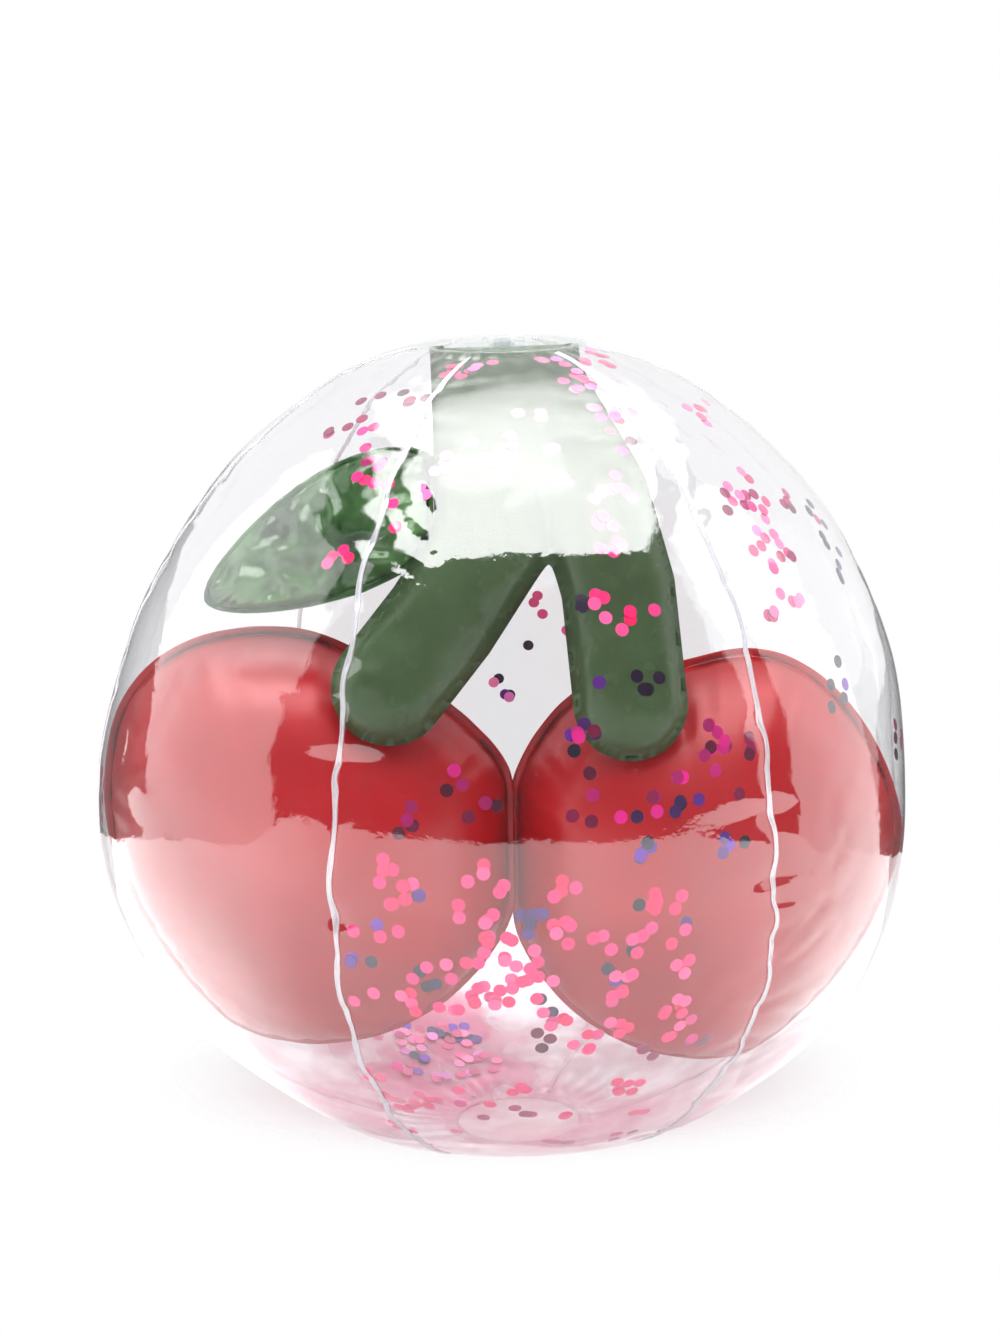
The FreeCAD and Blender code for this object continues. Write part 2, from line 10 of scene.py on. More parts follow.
import bpy
import numpy as np
from mathutils import Matrix, Vector


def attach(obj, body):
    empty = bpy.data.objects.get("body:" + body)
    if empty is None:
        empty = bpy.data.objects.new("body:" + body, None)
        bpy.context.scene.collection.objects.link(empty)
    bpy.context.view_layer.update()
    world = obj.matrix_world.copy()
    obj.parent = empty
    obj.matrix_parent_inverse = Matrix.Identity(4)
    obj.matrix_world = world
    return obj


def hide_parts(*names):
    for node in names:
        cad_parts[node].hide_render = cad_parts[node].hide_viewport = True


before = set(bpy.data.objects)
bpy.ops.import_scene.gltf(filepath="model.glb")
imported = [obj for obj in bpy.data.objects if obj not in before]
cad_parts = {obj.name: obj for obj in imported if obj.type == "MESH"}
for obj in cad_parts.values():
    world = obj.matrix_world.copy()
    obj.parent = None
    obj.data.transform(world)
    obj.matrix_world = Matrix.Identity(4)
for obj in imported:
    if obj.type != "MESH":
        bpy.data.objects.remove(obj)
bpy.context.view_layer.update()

# ---- the ball's film, as the solids have it ----
ball_radius = 0.175
lower_depth = 0.153
upper_rise = 0.202
film = 0.0003
gore_count = 6
first_seam_turn = -23.6
bottom_cap_radius = 0.033
top_cap_radius = 0.0355
cap_lap = 0.006
seam_width = 0.0035
lap_gap = 0.00005
seam_press = 0.66            # share of the lap's width that the weld presses into a band
bead_height = 0.0006
belly_z = film + lower_depth * math.sqrt(1 - (bottom_cap_radius / ball_radius) ** 2)
top_z = belly_z + upper_rise * math.sqrt(1 - (top_cap_radius / ball_radius) ** 2)
low_angle = -math.degrees(math.acos(bottom_cap_radius / ball_radius))
high_angle = math.degrees(math.acos(top_cap_radius / ball_radius))
gore_turn = 360 / gore_count
tube_hole_radius = 0.0053
ball_valve_gore = 3
ball_valve_angle = -42.0

# ---- how finely the film is drawn ----
gore_rows = 190
gore_columns = 62
gore_crowding = 0.07         # how much closer the columns stand near the seams
seam_rows = 420
cap_around = 144

# ---- the film's relief: everything that keeps a real welded ball from being smooth ----
seam_valley = 0.0009         # how far the film is pulled in along a seam
seam_valley_reach = 0.009
pucker_spacing = (0.016, 0.036)
pucker_depth = 0.0011
pucker_reach = 0.017
middle_radius = 0.176        # the film's radius along a seam, near enough for spacing
front_puckers = {
    # seam: distance up it, slant, strength on its left and on its right
    0: [
        (0.012, 0.2, 0.8, 0.6), (0.04, -0.3, 0.5, 0.8), (0.071, 0.2, 0.9, 0.5), (0.098, -0.2, 0.5, 0.9),
        (0.123, 0.3, 0.8, 0.9), (0.146, -0.3, 0.9, 0.6), (0.170, 0.3, 0.5, 0.8), (0.191, -0.3, 0.9, 1.0),
        (0.213, 0.1, 0.4, 0.5), (0.2385, 0.0, 2.6, 3.7), (0.258, 0.1, 0.3, 0.25), (0.283, 0.0, 0.2, 0.9),
        (0.2915, 0.0, 1.2, 1.6), (0.3116, 0.1, 1.3, 0.8), (0.3269, 0.2, 0.8, 1.1), (0.349, -0.3, 0.6, 0.7),
        (0.371, 0.4, 0.9, 1.3), (0.389, -0.2, 1.0, 1.4), (0.410, 0.3, 0.8, 0.8), (0.431, -0.2, 0.7, 0.6),
        (0.452, 0.2, 0.5, 0.7),
    ],
    1: [
        (0.018, 0.2, 0.8, 0.6), (0.047, -0.3, 0.5, 0.8), (0.079, 0.2, 0.9, 0.5), (0.108, -0.2, 0.5, 0.9),
        (0.1377, 0.3, 0.8, 0.9), (0.158, -0.3, 0.7, 0.8), (0.1776, 0.3, 0.6, 0.9), (0.2034, -0.5, 0.3, 1.2),
        (0.2157, 0.3, 0.9, 1.3), (0.2326, 0.2, 0.3, 0.9), (0.2449, 0.0, 1.5, 1.3), (0.2667, 0.0, 1.4, 1.0),
        (0.283, 0.1, 0.3, 0.4), (0.299, 0.0, 1.2, 0.5), (0.324, 0.2, 0.5, 0.6), (0.3506, -0.3, 0.7, 0.6),
        (0.378, 0.3, 0.5, 0.7), (0.4136, -0.3, 0.8, 0.7), (0.437, 0.2, 0.6, 0.6),
    ],
}
seam_stray = 0.0012          # how far a seam wanders sideways between two puckers
cap_crease_depth = 0.0008
cap_crease_reach = 0.016
cap_crease_count = 31
cap_ring_steps = (0.0046, 0.0022)        # two pressed rings, in from a cap's edge
cap_ring_height = 0.00018
cap_ring_width = 0.0006
cap_unevenness = 0.00012
cap_lift = 0.00012
swell_depth = 0.0007         # long soft unevenness
swell_lengths = (0.06, 0.13)
ripple_depth = 0.00006       # short ripples in patches
ripple_lengths = (0.012, 0.022)
ripple_patches = (0.05, 0.11)
left_bulge = 0.006           # the figure pushes the film out on the left, and leaves it slack on the right
right_slack = 0.0046
bulge_z = 0.153
bulge_reach = 0.052
valve_flat = 0.021           # the film stays smooth round the valve, over this far
creases = [
    # (turn, angle) at both ends, half width, depth
    ((-30, 6), (-26, 4.5), 0.0016, 0.0006), ((-31, -6), (-19, -8), 0.0026, 0.0008),
    ((-29, -24), (-14, -29), 0.003, 0.0009), ((36, -22), (52, -27), 0.003, 0.0009),
    ((34, -2), (48, -6), 0.0026, 0.0008), ((-26, 28), (-6, 34), 0.003, 0.0011),
    ((-12, 27), (8, 33), 0.003, 0.001), ((-20, 40), (0, 31), 0.0026, 0.0008),
    ((44, -34), (70, -52), 0.003, 0.0009), ((52, -26), (78, -44), 0.003, 0.0009),
    ((38, -46), (60, -62), 0.003, 0.0008), ((-36, 24), (-25, 20), 0.0022, 0.0009),
    ((-53, 25), (-58, 13), 0.0016, 0.0007), ((-50, -4), (-46, -16), 0.0012, 0.0003),
    ((-56, 2), (-54, -14), 0.0012, 0.0003), ((37, -12), (47, -5), 0.0016, 0.0007),
    ((38, -15), (49, -9), 0.0016, 0.0007), ((-21, 46), (-11, 39), 0.0018, 0.001),
    ((-19, 42), (-6, 43), 0.0016, 0.0009), ((-18, 50), (-13, 45), 0.0016, 0.0009),
    ((-14, 39), (4, 50), 0.0026, 0.0006),
]

# ---- the cherries ----
weld_rim = 0.0035
cherry_dip = 0.09
cherry_dip_angle = 17.0
shoulder_spread = 28.0
wall_gap = 0.0008
wall_spare = 0.001
cherry_pucker = 0.0016
cherry_unevenness = 0.0009
middle_lap = 0.0009          # how far each cherry's rim reaches past the middle, over or under the other
middle_lap_depth = 0.0009
middle_lap_reach = 0.006
cherries = {
    "left": {
        "middle": (-0.084, 0.1325), "half_width": 0.091, "half_height": 0.095, "rise": 0.058, "tilt": 20.0,
        "shoulder": 0.17, "shoulder_angle": -62.0, "inner_dent": 0.1,
    },
    "right": {
        "middle": (0.083, 0.122), "half_width": 0.089, "half_height": 0.095, "rise": 0.062, "tilt": -7.0,
        "shoulder": 0.04, "shoulder_angle": 30.0, "inner_dent": 0.0,
    },
}
inner_dent_angle = 25.0
inner_dent_spread = 24.0
around_count = 168
ring_count = 30
rim_rings = 3
ruffle_height = 0.0005       # the rims' waviness
weld_shade_nearness = (0.1, 0.5, 1.0, 0.8, 0.5, 0.2)   # strength of the painted shade on the rings of points from inside the rim to over the weld
weld_shade_fade = ((0.1, 0.17), (0.12, 1.0))           # the painted shade along the weld shows less low down: heights, shares

# ---- the stems and the leaf, drawn in a plane that leans out from the middle of the top cap ----
stem_lean = math.radians(17.1)
stem_runs = {
    "left": [(-0.004, -0.012), (-0.006, 0.084), (-0.028, 0.117), (-0.0505, 0.145)],
    "right": [(0.002, -0.012), (0.009, 0.017), (0.0365, 0.066), (0.0465, 0.105), (0.0505, 0.154)],
    "neck": [(0.0, -0.012), (0.003, 0.04)],
}
stem_half_widths = {"left": 0.022, "right": 0.0215, "neck": 0.028}
stem_rises = {"left": 0.013, "right": 0.013, "neck": 0.02}
stem_weld_rim = 0.0025
stem_seat_gap = 0.0005
stem_blend = 0.006           # how softly the runs flow into each other
stem_fill = 0.0215           # where the runs meet, the sheets rise to stem_soft_rise over this depth
stem_soft_rise = 0.013
stem_grid_low = (-0.085, -0.19)          # where the grid that the sheets are cut from starts, and its size
stem_grid_size = (0.17, 0.2)
stem_cell = 0.0016
stem_cap_gap = 0.0004
stem_probe = 0.0002
stem_wrinkle = 0.00035
leaf_tip = (-0.1275, 0.107)
leaf_root = (-0.0225, 0.056)
leaf_half_width = 0.0275
leaf_fullness = 0.38
leaf_widest = 0.63
leaf_rise = 0.012
leaf_weld_rim = 0.0025
leaf_pucker = 0.0012
leaf_crumple = 0.0015

# ---- foil dots, thrown as the solids' dots are ----
dot_radius = 0.00265
dot_thick = 0.00015
dot_gap = 0.0003
dot_sides = 20
dot_layers = (0.0, 0.0004, 0.0008)
dot_clump = 0.0055
clump_counts = (1, 1, 1, 2, 2, 3, 4)
dot_tip = 0.04               # how much a dot tips out of the film's plane
dot_end_angle = 1.5
rim_turn = 6.0               # no dots where the cherries' rims come near the film
rim_angles = (-62.0, 30.0)
dot_seed = 31
dots = {
    # colour: clusters of (how many, middle turn, middle angle up the film, half the spans of the two)
    "foil_dots_pink": [
        (84, -7, -5, 14, 11), (56, 15, -12, 10, 12), (36, 0, -40, 24, 11), (8, 14, 32, 9, 5),
        (7, -25, 46, 6, 7), (22, 20, 45, 6, 6), (8, 2, 50, 10, 7),
    ],
    "foil_dots_magenta": [
        (20, 20, 12, 12, 6), (12, -8, 13, 6, 5), (16, 60, 40, 16, 6), (16, -38, 61, 11, 7),
        (20, 4, -34, 26, 16), (7, 30, 14, 6, 5), (5, 31, 56, 4, 6), (7, -76, 5, 5, 5), (5, 76, 6, 5, 5),
    ],
    "foil_dots_purple": [
        (14, 23, 10, 9, 6), (6, 7, 20, 3, 3), (6, 15, 29, 7, 6), (5, 47, 22, 12, 8), (9, 74, 36, 6, 5),
        (12, -10, -5, 13, 9), (10, 13, -7, 12, 8), (14, 212, -66, 16, 7), (4, 178, 8, 5, 6),
    ],
    "foil_dots_rose": [
        (14, -16, 74.5, 12, 2.5), (14, 42, 74.5, 20, 2.5), (15, 30, 66, 6, 4), (10, 4, 58, 14, 6),
        (8, -10, 52, 8, 6), (16, 52, 43, 7, 6), (5, 66, 60, 7, 2), (6, 46, 30, 5, 5), (44, 212, -66, 18, 8),
        (6, 176, 8, 6, 8),
    ],
}


def new_object(name, data):
    """An object in the scene that shows this mesh, lamp or camera."""
    thing = bpy.data.objects.new(name, data)
    bpy.context.scene.collection.objects.link(thing)
    return thing


def plain_mesh(name, points, faces):
    mesh = bpy.data.meshes.new(name)
    mesh.from_pydata([tuple(p) for p in points], [], faces)
    return mesh


def new_piece(name, points, faces):
    """A smooth-shaded piece that rides on the ball."""
    mesh = plain_mesh(name, points, faces)
    mesh.validate()
    mesh.shade_smooth()
    piece = new_object(name, mesh)
    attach(piece, "ball")
    return piece


def film_piece(name, points, faces):
    """A piece of film whose points are its outer side, with the film's real thickness inside them."""
    piece = new_piece(name, points, faces)
    solid = piece.modifiers.new("thickness", "SOLIDIFY")
    solid.thickness = film
    solid.offset = -1
    solid.use_even_offset = True
    return piece


def grid_faces(rows, columns, closed=False, first=0):
    """Quads of a grid of points that are numbered row by row."""
    faces = []
    for r in range(rows - 1):
        for c in range(columns if closed else columns - 1):
            after = (c + 1) % columns
            faces.append((
                first + r * columns + c, first + r * columns + after,
                first + (r + 1) * columns + after, first + (r + 1) * columns + c,
            ))
    return faces


def off_line(points, start, stop):
    """How far each point is from a straight line, and the share of the line's length where it is nearest."""
    line = stop - start
    share = np.clip(((points - start) @ line) / (line @ line), 0, 1)
    return np.linalg.norm(points - start - share[..., None] * line, axis=-1), share


def waves(points, lengths, count, seed):
    """Smooth random unevenness about 1 high: plane waves of these lengths in all directions."""
    draw = np.random.default_rng(seed)
    along = draw.normal(size=(count, 3))
    along /= np.linalg.norm(along, axis=1)[:, None]
    along *= (2 * math.pi / draw.uniform(lengths[0], lengths[1], count))[:, None]
    return np.cos(points @ along.T + draw.uniform(0, 2 * math.pi, count)).sum(1) / math.sqrt(count / 2)


# ---- the film's surface ----

def round_points(turn, radius, z):
    """Points at these turns round the pole axis, in radians, this far from it and this high."""
    return np.stack(np.broadcast_arrays(radius * np.sin(turn), -radius * np.cos(turn), z), -1)


def smooth_film(turn, angle):
    """Points and outward normals of the even film, for turns and angles in degrees."""
    turn, angle = np.radians(turn), np.radians(angle)
    tall = np.where(angle > 0, upper_rise, lower_depth)
    out, up = np.cos(angle) / ball_radius, np.sin(angle) / tall
    size = np.hypot(out, up)
    out, up = out / size, up / size
    points = round_points(turn, ball_radius * np.cos(angle), belly_z + tall * np.sin(angle))
    return points, round_points(turn, out, up)


def along_seam(angle):
    """Distance up the film from the bottom cap, near enough for spacing."""
    return np.radians(np.asarray(angle) - low_angle) * middle_radius


def draw_puckers(seam):
    """Where one seam is gathered: (distance up the seam, slant, strength on each side)."""
    if seam in front_puckers:
        return front_puckers[seam]
    draw = random.Random(40 + seam)
    puckers, at = [], draw.uniform(0.005, 0.02)
    while at < float(along_seam(high_angle)):
        puckers.append((at, draw.uniform(-0.5, 0.5), draw.uniform(0.3, 1), draw.uniform(0.3, 1)))
        at += draw.uniform(*pucker_spacing)
    return puckers


seam_puckers = [draw_puckers(seam) for seam in range(gore_count)]


def seam_offset(seam, angle):
    """How far a seam strays sideways here, in metres."""
    up = along_seam(angle)
    stops = np.array([0.0] + [p[0] for p in seam_puckers[seam]] + [0.6])
    sides = np.array([1 if k % 2 else -0.55 for k in range(len(stops))])
    span = np.clip(np.searchsorted(stops, up) - 1, 0, len(stops) - 2)
    share = np.clip((up - stops[span]) / (stops[span + 1] - stops[span]), 0, 1)
    return seam_stray * sides[span] * np.sin(math.pi * share)


valve_turn = first_seam_turn + gore_turn * (ball_valve_gore - 0.5)
valve_point = smooth_film(valve_turn, ball_valve_angle)[0]


def relief(turn, angle):
    """How far the real film stands out from the even one at these turns and angles, in metres."""
    turn, angle = np.asarray(turn, float), np.asarray(angle, float)
    points, _ = smooth_film(turn, angle)
    flat = points.reshape(-1, 3)
    radius = ball_radius * np.cos(np.radians(angle))
    up = along_seam(angle)
    height = swell_depth * waves(flat, swell_lengths, 26, 3).reshape(turn.shape)
    side = np.sin(np.radians(turn))
    level = np.exp(-((points[..., 2] - bulge_z) / bulge_reach) ** 2)
    height += level * side ** 2 * np.where(side < 0, left_bulge, -right_slack)
    patch = np.clip(waves(flat, ripple_patches, 18, 8).reshape(turn.shape), 0, 1.6)
    height += ripple_depth * patch * waves(flat, ripple_lengths, 40, 5).reshape(turn.shape)
    for seam in range(gore_count):
        apart = (turn - first_seam_turn - gore_turn * seam + 180) % 360 - 180
        across = np.radians(apart) * radius - seam_offset(seam, angle)
        reach = np.abs(across)
        near = reach < 0.07
        height -= np.where(near, seam_valley * np.exp(-reach / seam_valley_reach), 0)
        for at, slant, left, right in seam_puckers[seam]:
            wide = 0.0018 + 0.0014 * max(left, right) + 0.06 * reach
            off = (up - at - slant * reach) / wide
            depth = pucker_depth * np.where(across < 0, left, right)
            height -= np.where(near, depth * np.exp(-off ** 2 - reach / pucker_reach), 0)
    for end, seed in ((low_angle, 1.0), (high_angle, 2.2)):
        away = np.abs(np.radians(angle - end)) * middle_radius
        fold = np.sin(np.radians(turn) * cap_crease_count + 1.7 * np.sin(np.radians(turn) * 5 + seed) + seed)
        height -= cap_crease_depth * (0.5 + 0.5 * fold) * np.exp(-away / cap_crease_reach) * (away > 0.0001)
    for start, stop, wide, deep in creases:
        off, share = off_line(points, smooth_film(*start)[0], smooth_film(*stop)[0])
        height -= deep * np.sin(math.pi * share) ** 0.7 * np.exp(-(off / wide) ** 2)
    away = np.linalg.norm(points - valve_point, axis=-1)
    return height * (1 - np.exp(-(away / valve_flat) ** 4))


def film_points(turn, angle, lift=0.0):
    """Points on the real film, lifted off it by this much."""
    points, normals = smooth_film(turn, angle)
    return points + (relief(turn, angle) + lift)[..., None] * normals


def cut_hole(points, faces, centre, radius):
    """The faces left when a round hole is cut, with the points along its edge slid onto the circle."""
    apart = np.linalg.norm(points - centre, axis=1)
    inside = apart < radius - 0.0008
    kept = [face for face in faces if not any(inside[v] for v in face)]
    edge = {v for face in faces if any(inside[v] for v in face) for v in face if not inside[v]}
    for v in edge:
        points[v] = centre + (points[v] - centre) * radius / apart[v]
    return kept


def make_gore(number):
    """One clear gore, from seam to seam, with its flat ends under the caps."""
    share = np.linspace(0, 1, gore_columns)
    crowd = share - gore_crowding * np.sin(2 * math.pi * share)
    angles = np.linspace(low_angle, high_angle, gore_rows)
    seam, next_seam = number - 1, number % gore_count
    turns = np.empty((gore_rows, gore_columns))
    for row, angle in enumerate(angles):
        radius = ball_radius * math.cos(math.radians(angle))
        left = float(seam_offset(seam, angle)) / radius
        right = float(seam_offset(next_seam, angle)) / radius
        turns[row] = first_seam_turn + gore_turn * (seam + crowd) + np.degrees(left + (right - left) * share)
    body = film_points(turns, np.repeat(angles[:, None], gore_columns, 1))
    under, over = np.radians(turns[0]), np.radians(turns[-1])
    low = [round_points(under, bottom_cap_radius - step, film) for step in (cap_lap, cap_lap / 2)]
    high = [round_points(over, top_cap_radius - step, top_z) for step in (cap_lap / 2, cap_lap)]
    body[0, :, 2], body[-1, :, 2] = film, top_z
    points = np.concatenate([np.array(low), body, np.array(high)]).reshape(-1, 3)
    faces = grid_faces(gore_rows + 4, gore_columns)
    if number == ball_valve_gore:
        faces = cut_hole(points, faces, valve_point, tube_hole_radius)
    piece = film_piece("gore_film_%d" % number, points, faces)
    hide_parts("clear_gore_%d" % number)
    return piece


def make_seam(number):
    """The welded lap along one gore's far edge: a pressed band with a raised bead down each side."""
    section = [
        # (share of the band's width, height above the film)
        (-0.12, 0.0), (0.0, 0.55), (0.1, 1.0), (0.22, 0.8), (0.3, 0.35), (0.5, 0.25), (0.68, 0.35),
        (0.78, 0.8), (0.9, 1.0), (1.0, 0.6), (1.08, 0.0),
    ]
    seam = number % gore_count
    angles = np.linspace(low_angle + 0.25, high_angle - 0.25, seam_rows)
    radius = ball_radius * np.cos(np.radians(angles))
    pinch = 1 - 0.3 * np.abs(seam_offset(seam, angles)) / seam_stray
    base = first_seam_turn + gore_turn * number + np.degrees(seam_offset(seam, angles) / radius)
    columns = []
    for share, height in section:
        across = (share - 0.5) * pinch * seam_width * seam_press
        turns = base + np.degrees(across / radius)
        columns.append(film_points(turns, angles, height * bead_height + lap_gap))
    points = np.stack(columns, 1).reshape(-1, 3)
    return film_piece("seam_weld_%d" % number, points, grid_faces(seam_rows, len(section)))


def make_cap(name, radius, z, side, hole):
    """A round pole cap with two pressed weld rings near its edge, slightly uneven."""
    radii = [hole + 0.0002] if hole else [0.0006]
    radii += list(np.linspace(radii[0] + 0.002, radius - 0.0062, 9))
    radii += [radius - step for step in (
        0.0056, 0.0052, 0.0046, 0.004, 0.0034, 0.0028, 0.0022, 0.0016, 0.001, 0.0004, 0)]
    turns = np.linspace(0, 2 * math.pi, cap_around, endpoint=False)
    points = []
    for r in radii:
        rings = sum(math.exp(-((radius - r - step) / cap_ring_width) ** 2) for step in cap_ring_steps)
        share = min(1, max(0, (r - 0.018) / 0.012))
        uneven = cap_unevenness * np.sin(17 * turns + 1.3 * np.sin(3 * turns)) * share
        points.append(round_points(turns, r, z + side * (cap_ring_height * rings + cap_lift + uneven)))
    faces = grid_faces(len(radii), cap_around, closed=True)
    if side > 0:
        faces = [face[::-1] for face in faces]
    if not hole:
        faces.append(tuple(range(cap_around))[::side])
    piece = film_piece(name + "_film", np.concatenate(points), faces)
    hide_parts(name)
    return piece


# ---- the inflated figure: each of its parts has a front and a back sheet ----

halves = (("front", 1), ("back", -1))


def inside_wall(point, middle):
    """The point pulled in until it is clear of the ball's film and only just laps the other cherry's rim."""
    reach_x, reach_z = point[0] - middle[0], point[1] - middle[1]
    share = 1.0
    across = ball_radius - film - wall_gap - wall_spare
    for tall, side in ((upper_rise, 1), (lower_depth, -1)):
        tall -= film + wall_gap + wall_spare
        a = (reach_x / across) ** 2 + (reach_z / tall) ** 2
        b = 2 * (middle[0] * reach_x / across ** 2 + (middle[1] - belly_z) * reach_z / tall ** 2)
        c = (middle[0] / across) ** 2 + ((middle[1] - belly_z) / tall) ** 2 - 1
        to_wall = (-b + math.sqrt(b * b - 4 * a * c)) / (2 * a)
        if (middle[1] + to_wall * reach_z - belly_z) * side >= 0:
            share = min(share, to_wall)
    if reach_x * middle[0] < 0:
        share = min(share, (abs(middle[0]) + middle_lap) / abs(reach_x))
    return middle[0] + share * reach_x, middle[1] + share * reach_z


def cherry_edge(cherry, angle):
    """A point of the outside of the cherry's weld rim, at this angle from its own top."""
    turned = (angle + 180) % 360 - 180
    wide, tall = cherry["half_width"], cherry["half_height"]
    radius = 1 / math.hypot(math.sin(math.radians(turned)) / wide, math.cos(math.radians(turned)) / tall)
    radius *= 1 - cherry_dip * math.exp(-(turned / cherry_dip_angle) ** 2)
    radius *= 1 + cherry["shoulder"] * math.exp(-((turned - cherry["shoulder_angle"]) / shoulder_spread) ** 2)
    radius *= 1 - cherry["inner_dent"] * math.exp(-((turned - inner_dent_angle) / inner_dent_spread) ** 2)
    lean = math.radians(angle + cherry["tilt"])
    x, z = cherry["middle"]
    return inside_wall((x + radius * math.sin(lean), z + radius * math.cos(lean)), cherry["middle"])


def rounded(edge, times):
    """The closed line of points with its corners softened."""
    edge = np.array(edge, float)
    for _ in range(times):
        edge = (np.roll(edge, 1, 0) + 2 * edge + np.roll(edge, -1, 0)) / 4
    return edge


def pillow(edge, middle, rim, rise, side, pucker, seed):
    """Points of one blown-up sheet over the (x, y) plane, ring by ring from the outside of its weld rim.

    Side is 1 for the sheet above the plane and -1 for the one below. Puckers run in from the weld.
    """
    draw = random.Random(seed)
    count = len(edge)
    middle = np.array(middle, float)
    arms = edge - middle
    length = np.linalg.norm(arms, axis=1)
    arms = arms / length[:, None]
    place = np.arange(count) / count
    fold = np.zeros(count)
    at = 0.0
    while at < 1:
        apart = (place - at + 0.5) % 1 - 0.5
        fold += draw.uniform(0.4, 1) * np.exp(-(apart / 0.0058) ** 2)
        at += draw.uniform(0.018, 0.034)
    wave_draw = random.Random(seed // 2)
    phase = wave_draw.uniform(0, 6)
    ruffle = ruffle_height * np.sin(2 * math.pi * place * 23 + 2 * np.sin(2 * math.pi * place * 5 + phase))
    rings = []
    for k in range(rim_rings):
        inset = rim * k / rim_rings
        high = ruffle * (1 - k / rim_rings) + side * film / 2
        rings.append((arms * (length - inset)[:, None] + middle, high))
    for k in range(ring_count):
        bend = math.pi / 2 * (k / ring_count) ** 1.15
        share = math.cos(bend)
        near = math.exp(-(1 - share) / 0.09)
        gather = fold * near
        radius = (length - rim) * share - 0.35 * pucker * gather * (k > 0)
        height = rise * math.sin(bend) * (1 - 0.12 * gather) - pucker * gather * min(1, 3 * math.sin(bend))
        rings.append((arms * radius[:, None] + middle, side * (film / 2 + np.maximum(height, 0))))
    plane = np.array([np.column_stack([flat, high]) for flat, high in rings])
    apex = np.array([middle[0], middle[1], side * (rise + film / 2)])
    return plane, apex


def pillow_piece(node, plane, apex, place, side):
    """A blown-up sheet as a piece, stood in its place, with how near each point is to the weld line, for the
    painted shade along it.
    """
    rows, count, _ = plane.shape
    nearness = np.zeros(rows)
    nearness[rim_rings - 2:rim_rings + len(weld_shade_nearness) - 2] = weld_shade_nearness
    points = np.concatenate([plane.reshape(-1, 3), apex[None]])
    faces = grid_faces(rows, count, closed=True)
    last = (rows - 1) * count
    faces += [(last + k, last + (k + 1) % count, rows * count) for k in range(count)]
    if side > 0:
        faces = [face[::-1] for face in faces]
    points = [place @ Vector(p) for p in points]
    piece = film_piece(node + "_film", points, faces)
    if piece.data.polygons[-1].normal.dot(place.to_3x3() @ Vector((0, 0, side))) < 0:
        piece.data.flip_normals()
    weld = piece.data.attributes.new("weld", "FLOAT", "POINT")
    heights = np.array([p.z for p in points])
    weld.data.foreach_set("value", np.append(np.repeat(nearness, count), 0) * np.interp(heights, *weld_shade_fade))
    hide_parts(node)
    return piece


def plane_at(origin, across, up):
    """A matrix whose X axis is across and whose Y axis is up."""
    out = across.cross(up)
    return Matrix((
        (across.x, up.x, out.x, origin.x), (across.y, up.y, out.y, origin.y),
        (across.z, up.z, out.z, origin.z), (0, 0, 0, 1),
    ))


upright = plane_at(Vector(), Vector((1, 0, 0)), Vector((0, 0, 1)))
leaning = plane_at(
    Vector((0, 0, top_z)), Vector((1, 0, 0)), Vector((0, math.sin(stem_lean), math.cos(stem_lean))))


def make_cherry(side):
    cherry = cherries[side]
    edge = rounded([cherry_edge(cherry, 360 * k / around_count) for k in range(around_count)], 6)
    for half, sign in halves:
        seed = 60 + 2 * len(side) + (sign < 0)
        plane, apex = pillow(edge, cherry["middle"], weld_rim, cherry["rise"], sign, cherry_pucker, seed)
        away = 1 - np.exp(-np.linalg.norm(plane[..., :2] - edge[None], axis=-1) / 0.02)
        uneven = waves(plane.reshape(-1, 3), (0.05, 0.09), 20, seed).reshape(plane.shape[:2])
        plane[..., 2] += sign * cherry_unevenness * away * uneven
        level = np.exp(-((plane[..., 1] - bulge_z) / bulge_reach) ** 2)
        out = np.minimum(plane[..., 0], 0) / ball_radius
        plane[..., 0] -= 0.97 * left_bulge * level * out ** 2 * (1 - (plane[..., 2] / ball_radius) ** 2)
        in_front = 1 if side == "left" else -1
        plane[..., 2] += in_front * middle_lap_depth * np.exp(-(plane[..., 0] / middle_lap_reach) ** 2)
        dress(pillow_piece("cherry_%s_%s" % (side, half), plane, apex, upright, sign), red_vinyl)


def run_distance(points, run):
    """Distance from each (x, y) point to a line of (x, drop) points."""
    best = np.full(points.shape[:-1], 9.0)
    stops = [np.array([x, -drop]) for x, drop in run]
    for start, stop in zip(stops, stops[1:]):
        best = np.minimum(best, off_line(points, start, stop)[0])
    return best


def soft_least(values, blend):
    """The least of several arrays, with its corners rounded."""
    return -blend * np.log(sum(np.exp(-v / blend) for v in values))


def stem_depth(points):
    """How far inside the stems' weld line each (x, y) point is. Negative outside it."""
    outside = [run_distance(points, run) - stem_half_widths[name] for name, run in stem_runs.items()]
    return -soft_least(outside, stem_blend / 3)


def stem_height(points):
    """Height of the blown-up stems over the weld plane."""
    best = np.zeros(points.shape[:-1])
    for name, run in stem_runs.items():
        half, rise = stem_half_widths[name], stem_rises[name]
        share = np.clip(run_distance(points, run) / half, 0, 1)
        best = np.maximum(best, rise * np.sqrt(1 - share ** 2))
    depth = np.clip(stem_depth(points), 0, None)
    soft = stem_soft_rise * np.sqrt(1 - (1 - np.clip(depth / stem_fill, 0, 1)) ** 2)
    return np.maximum(best * 0.94, soft)


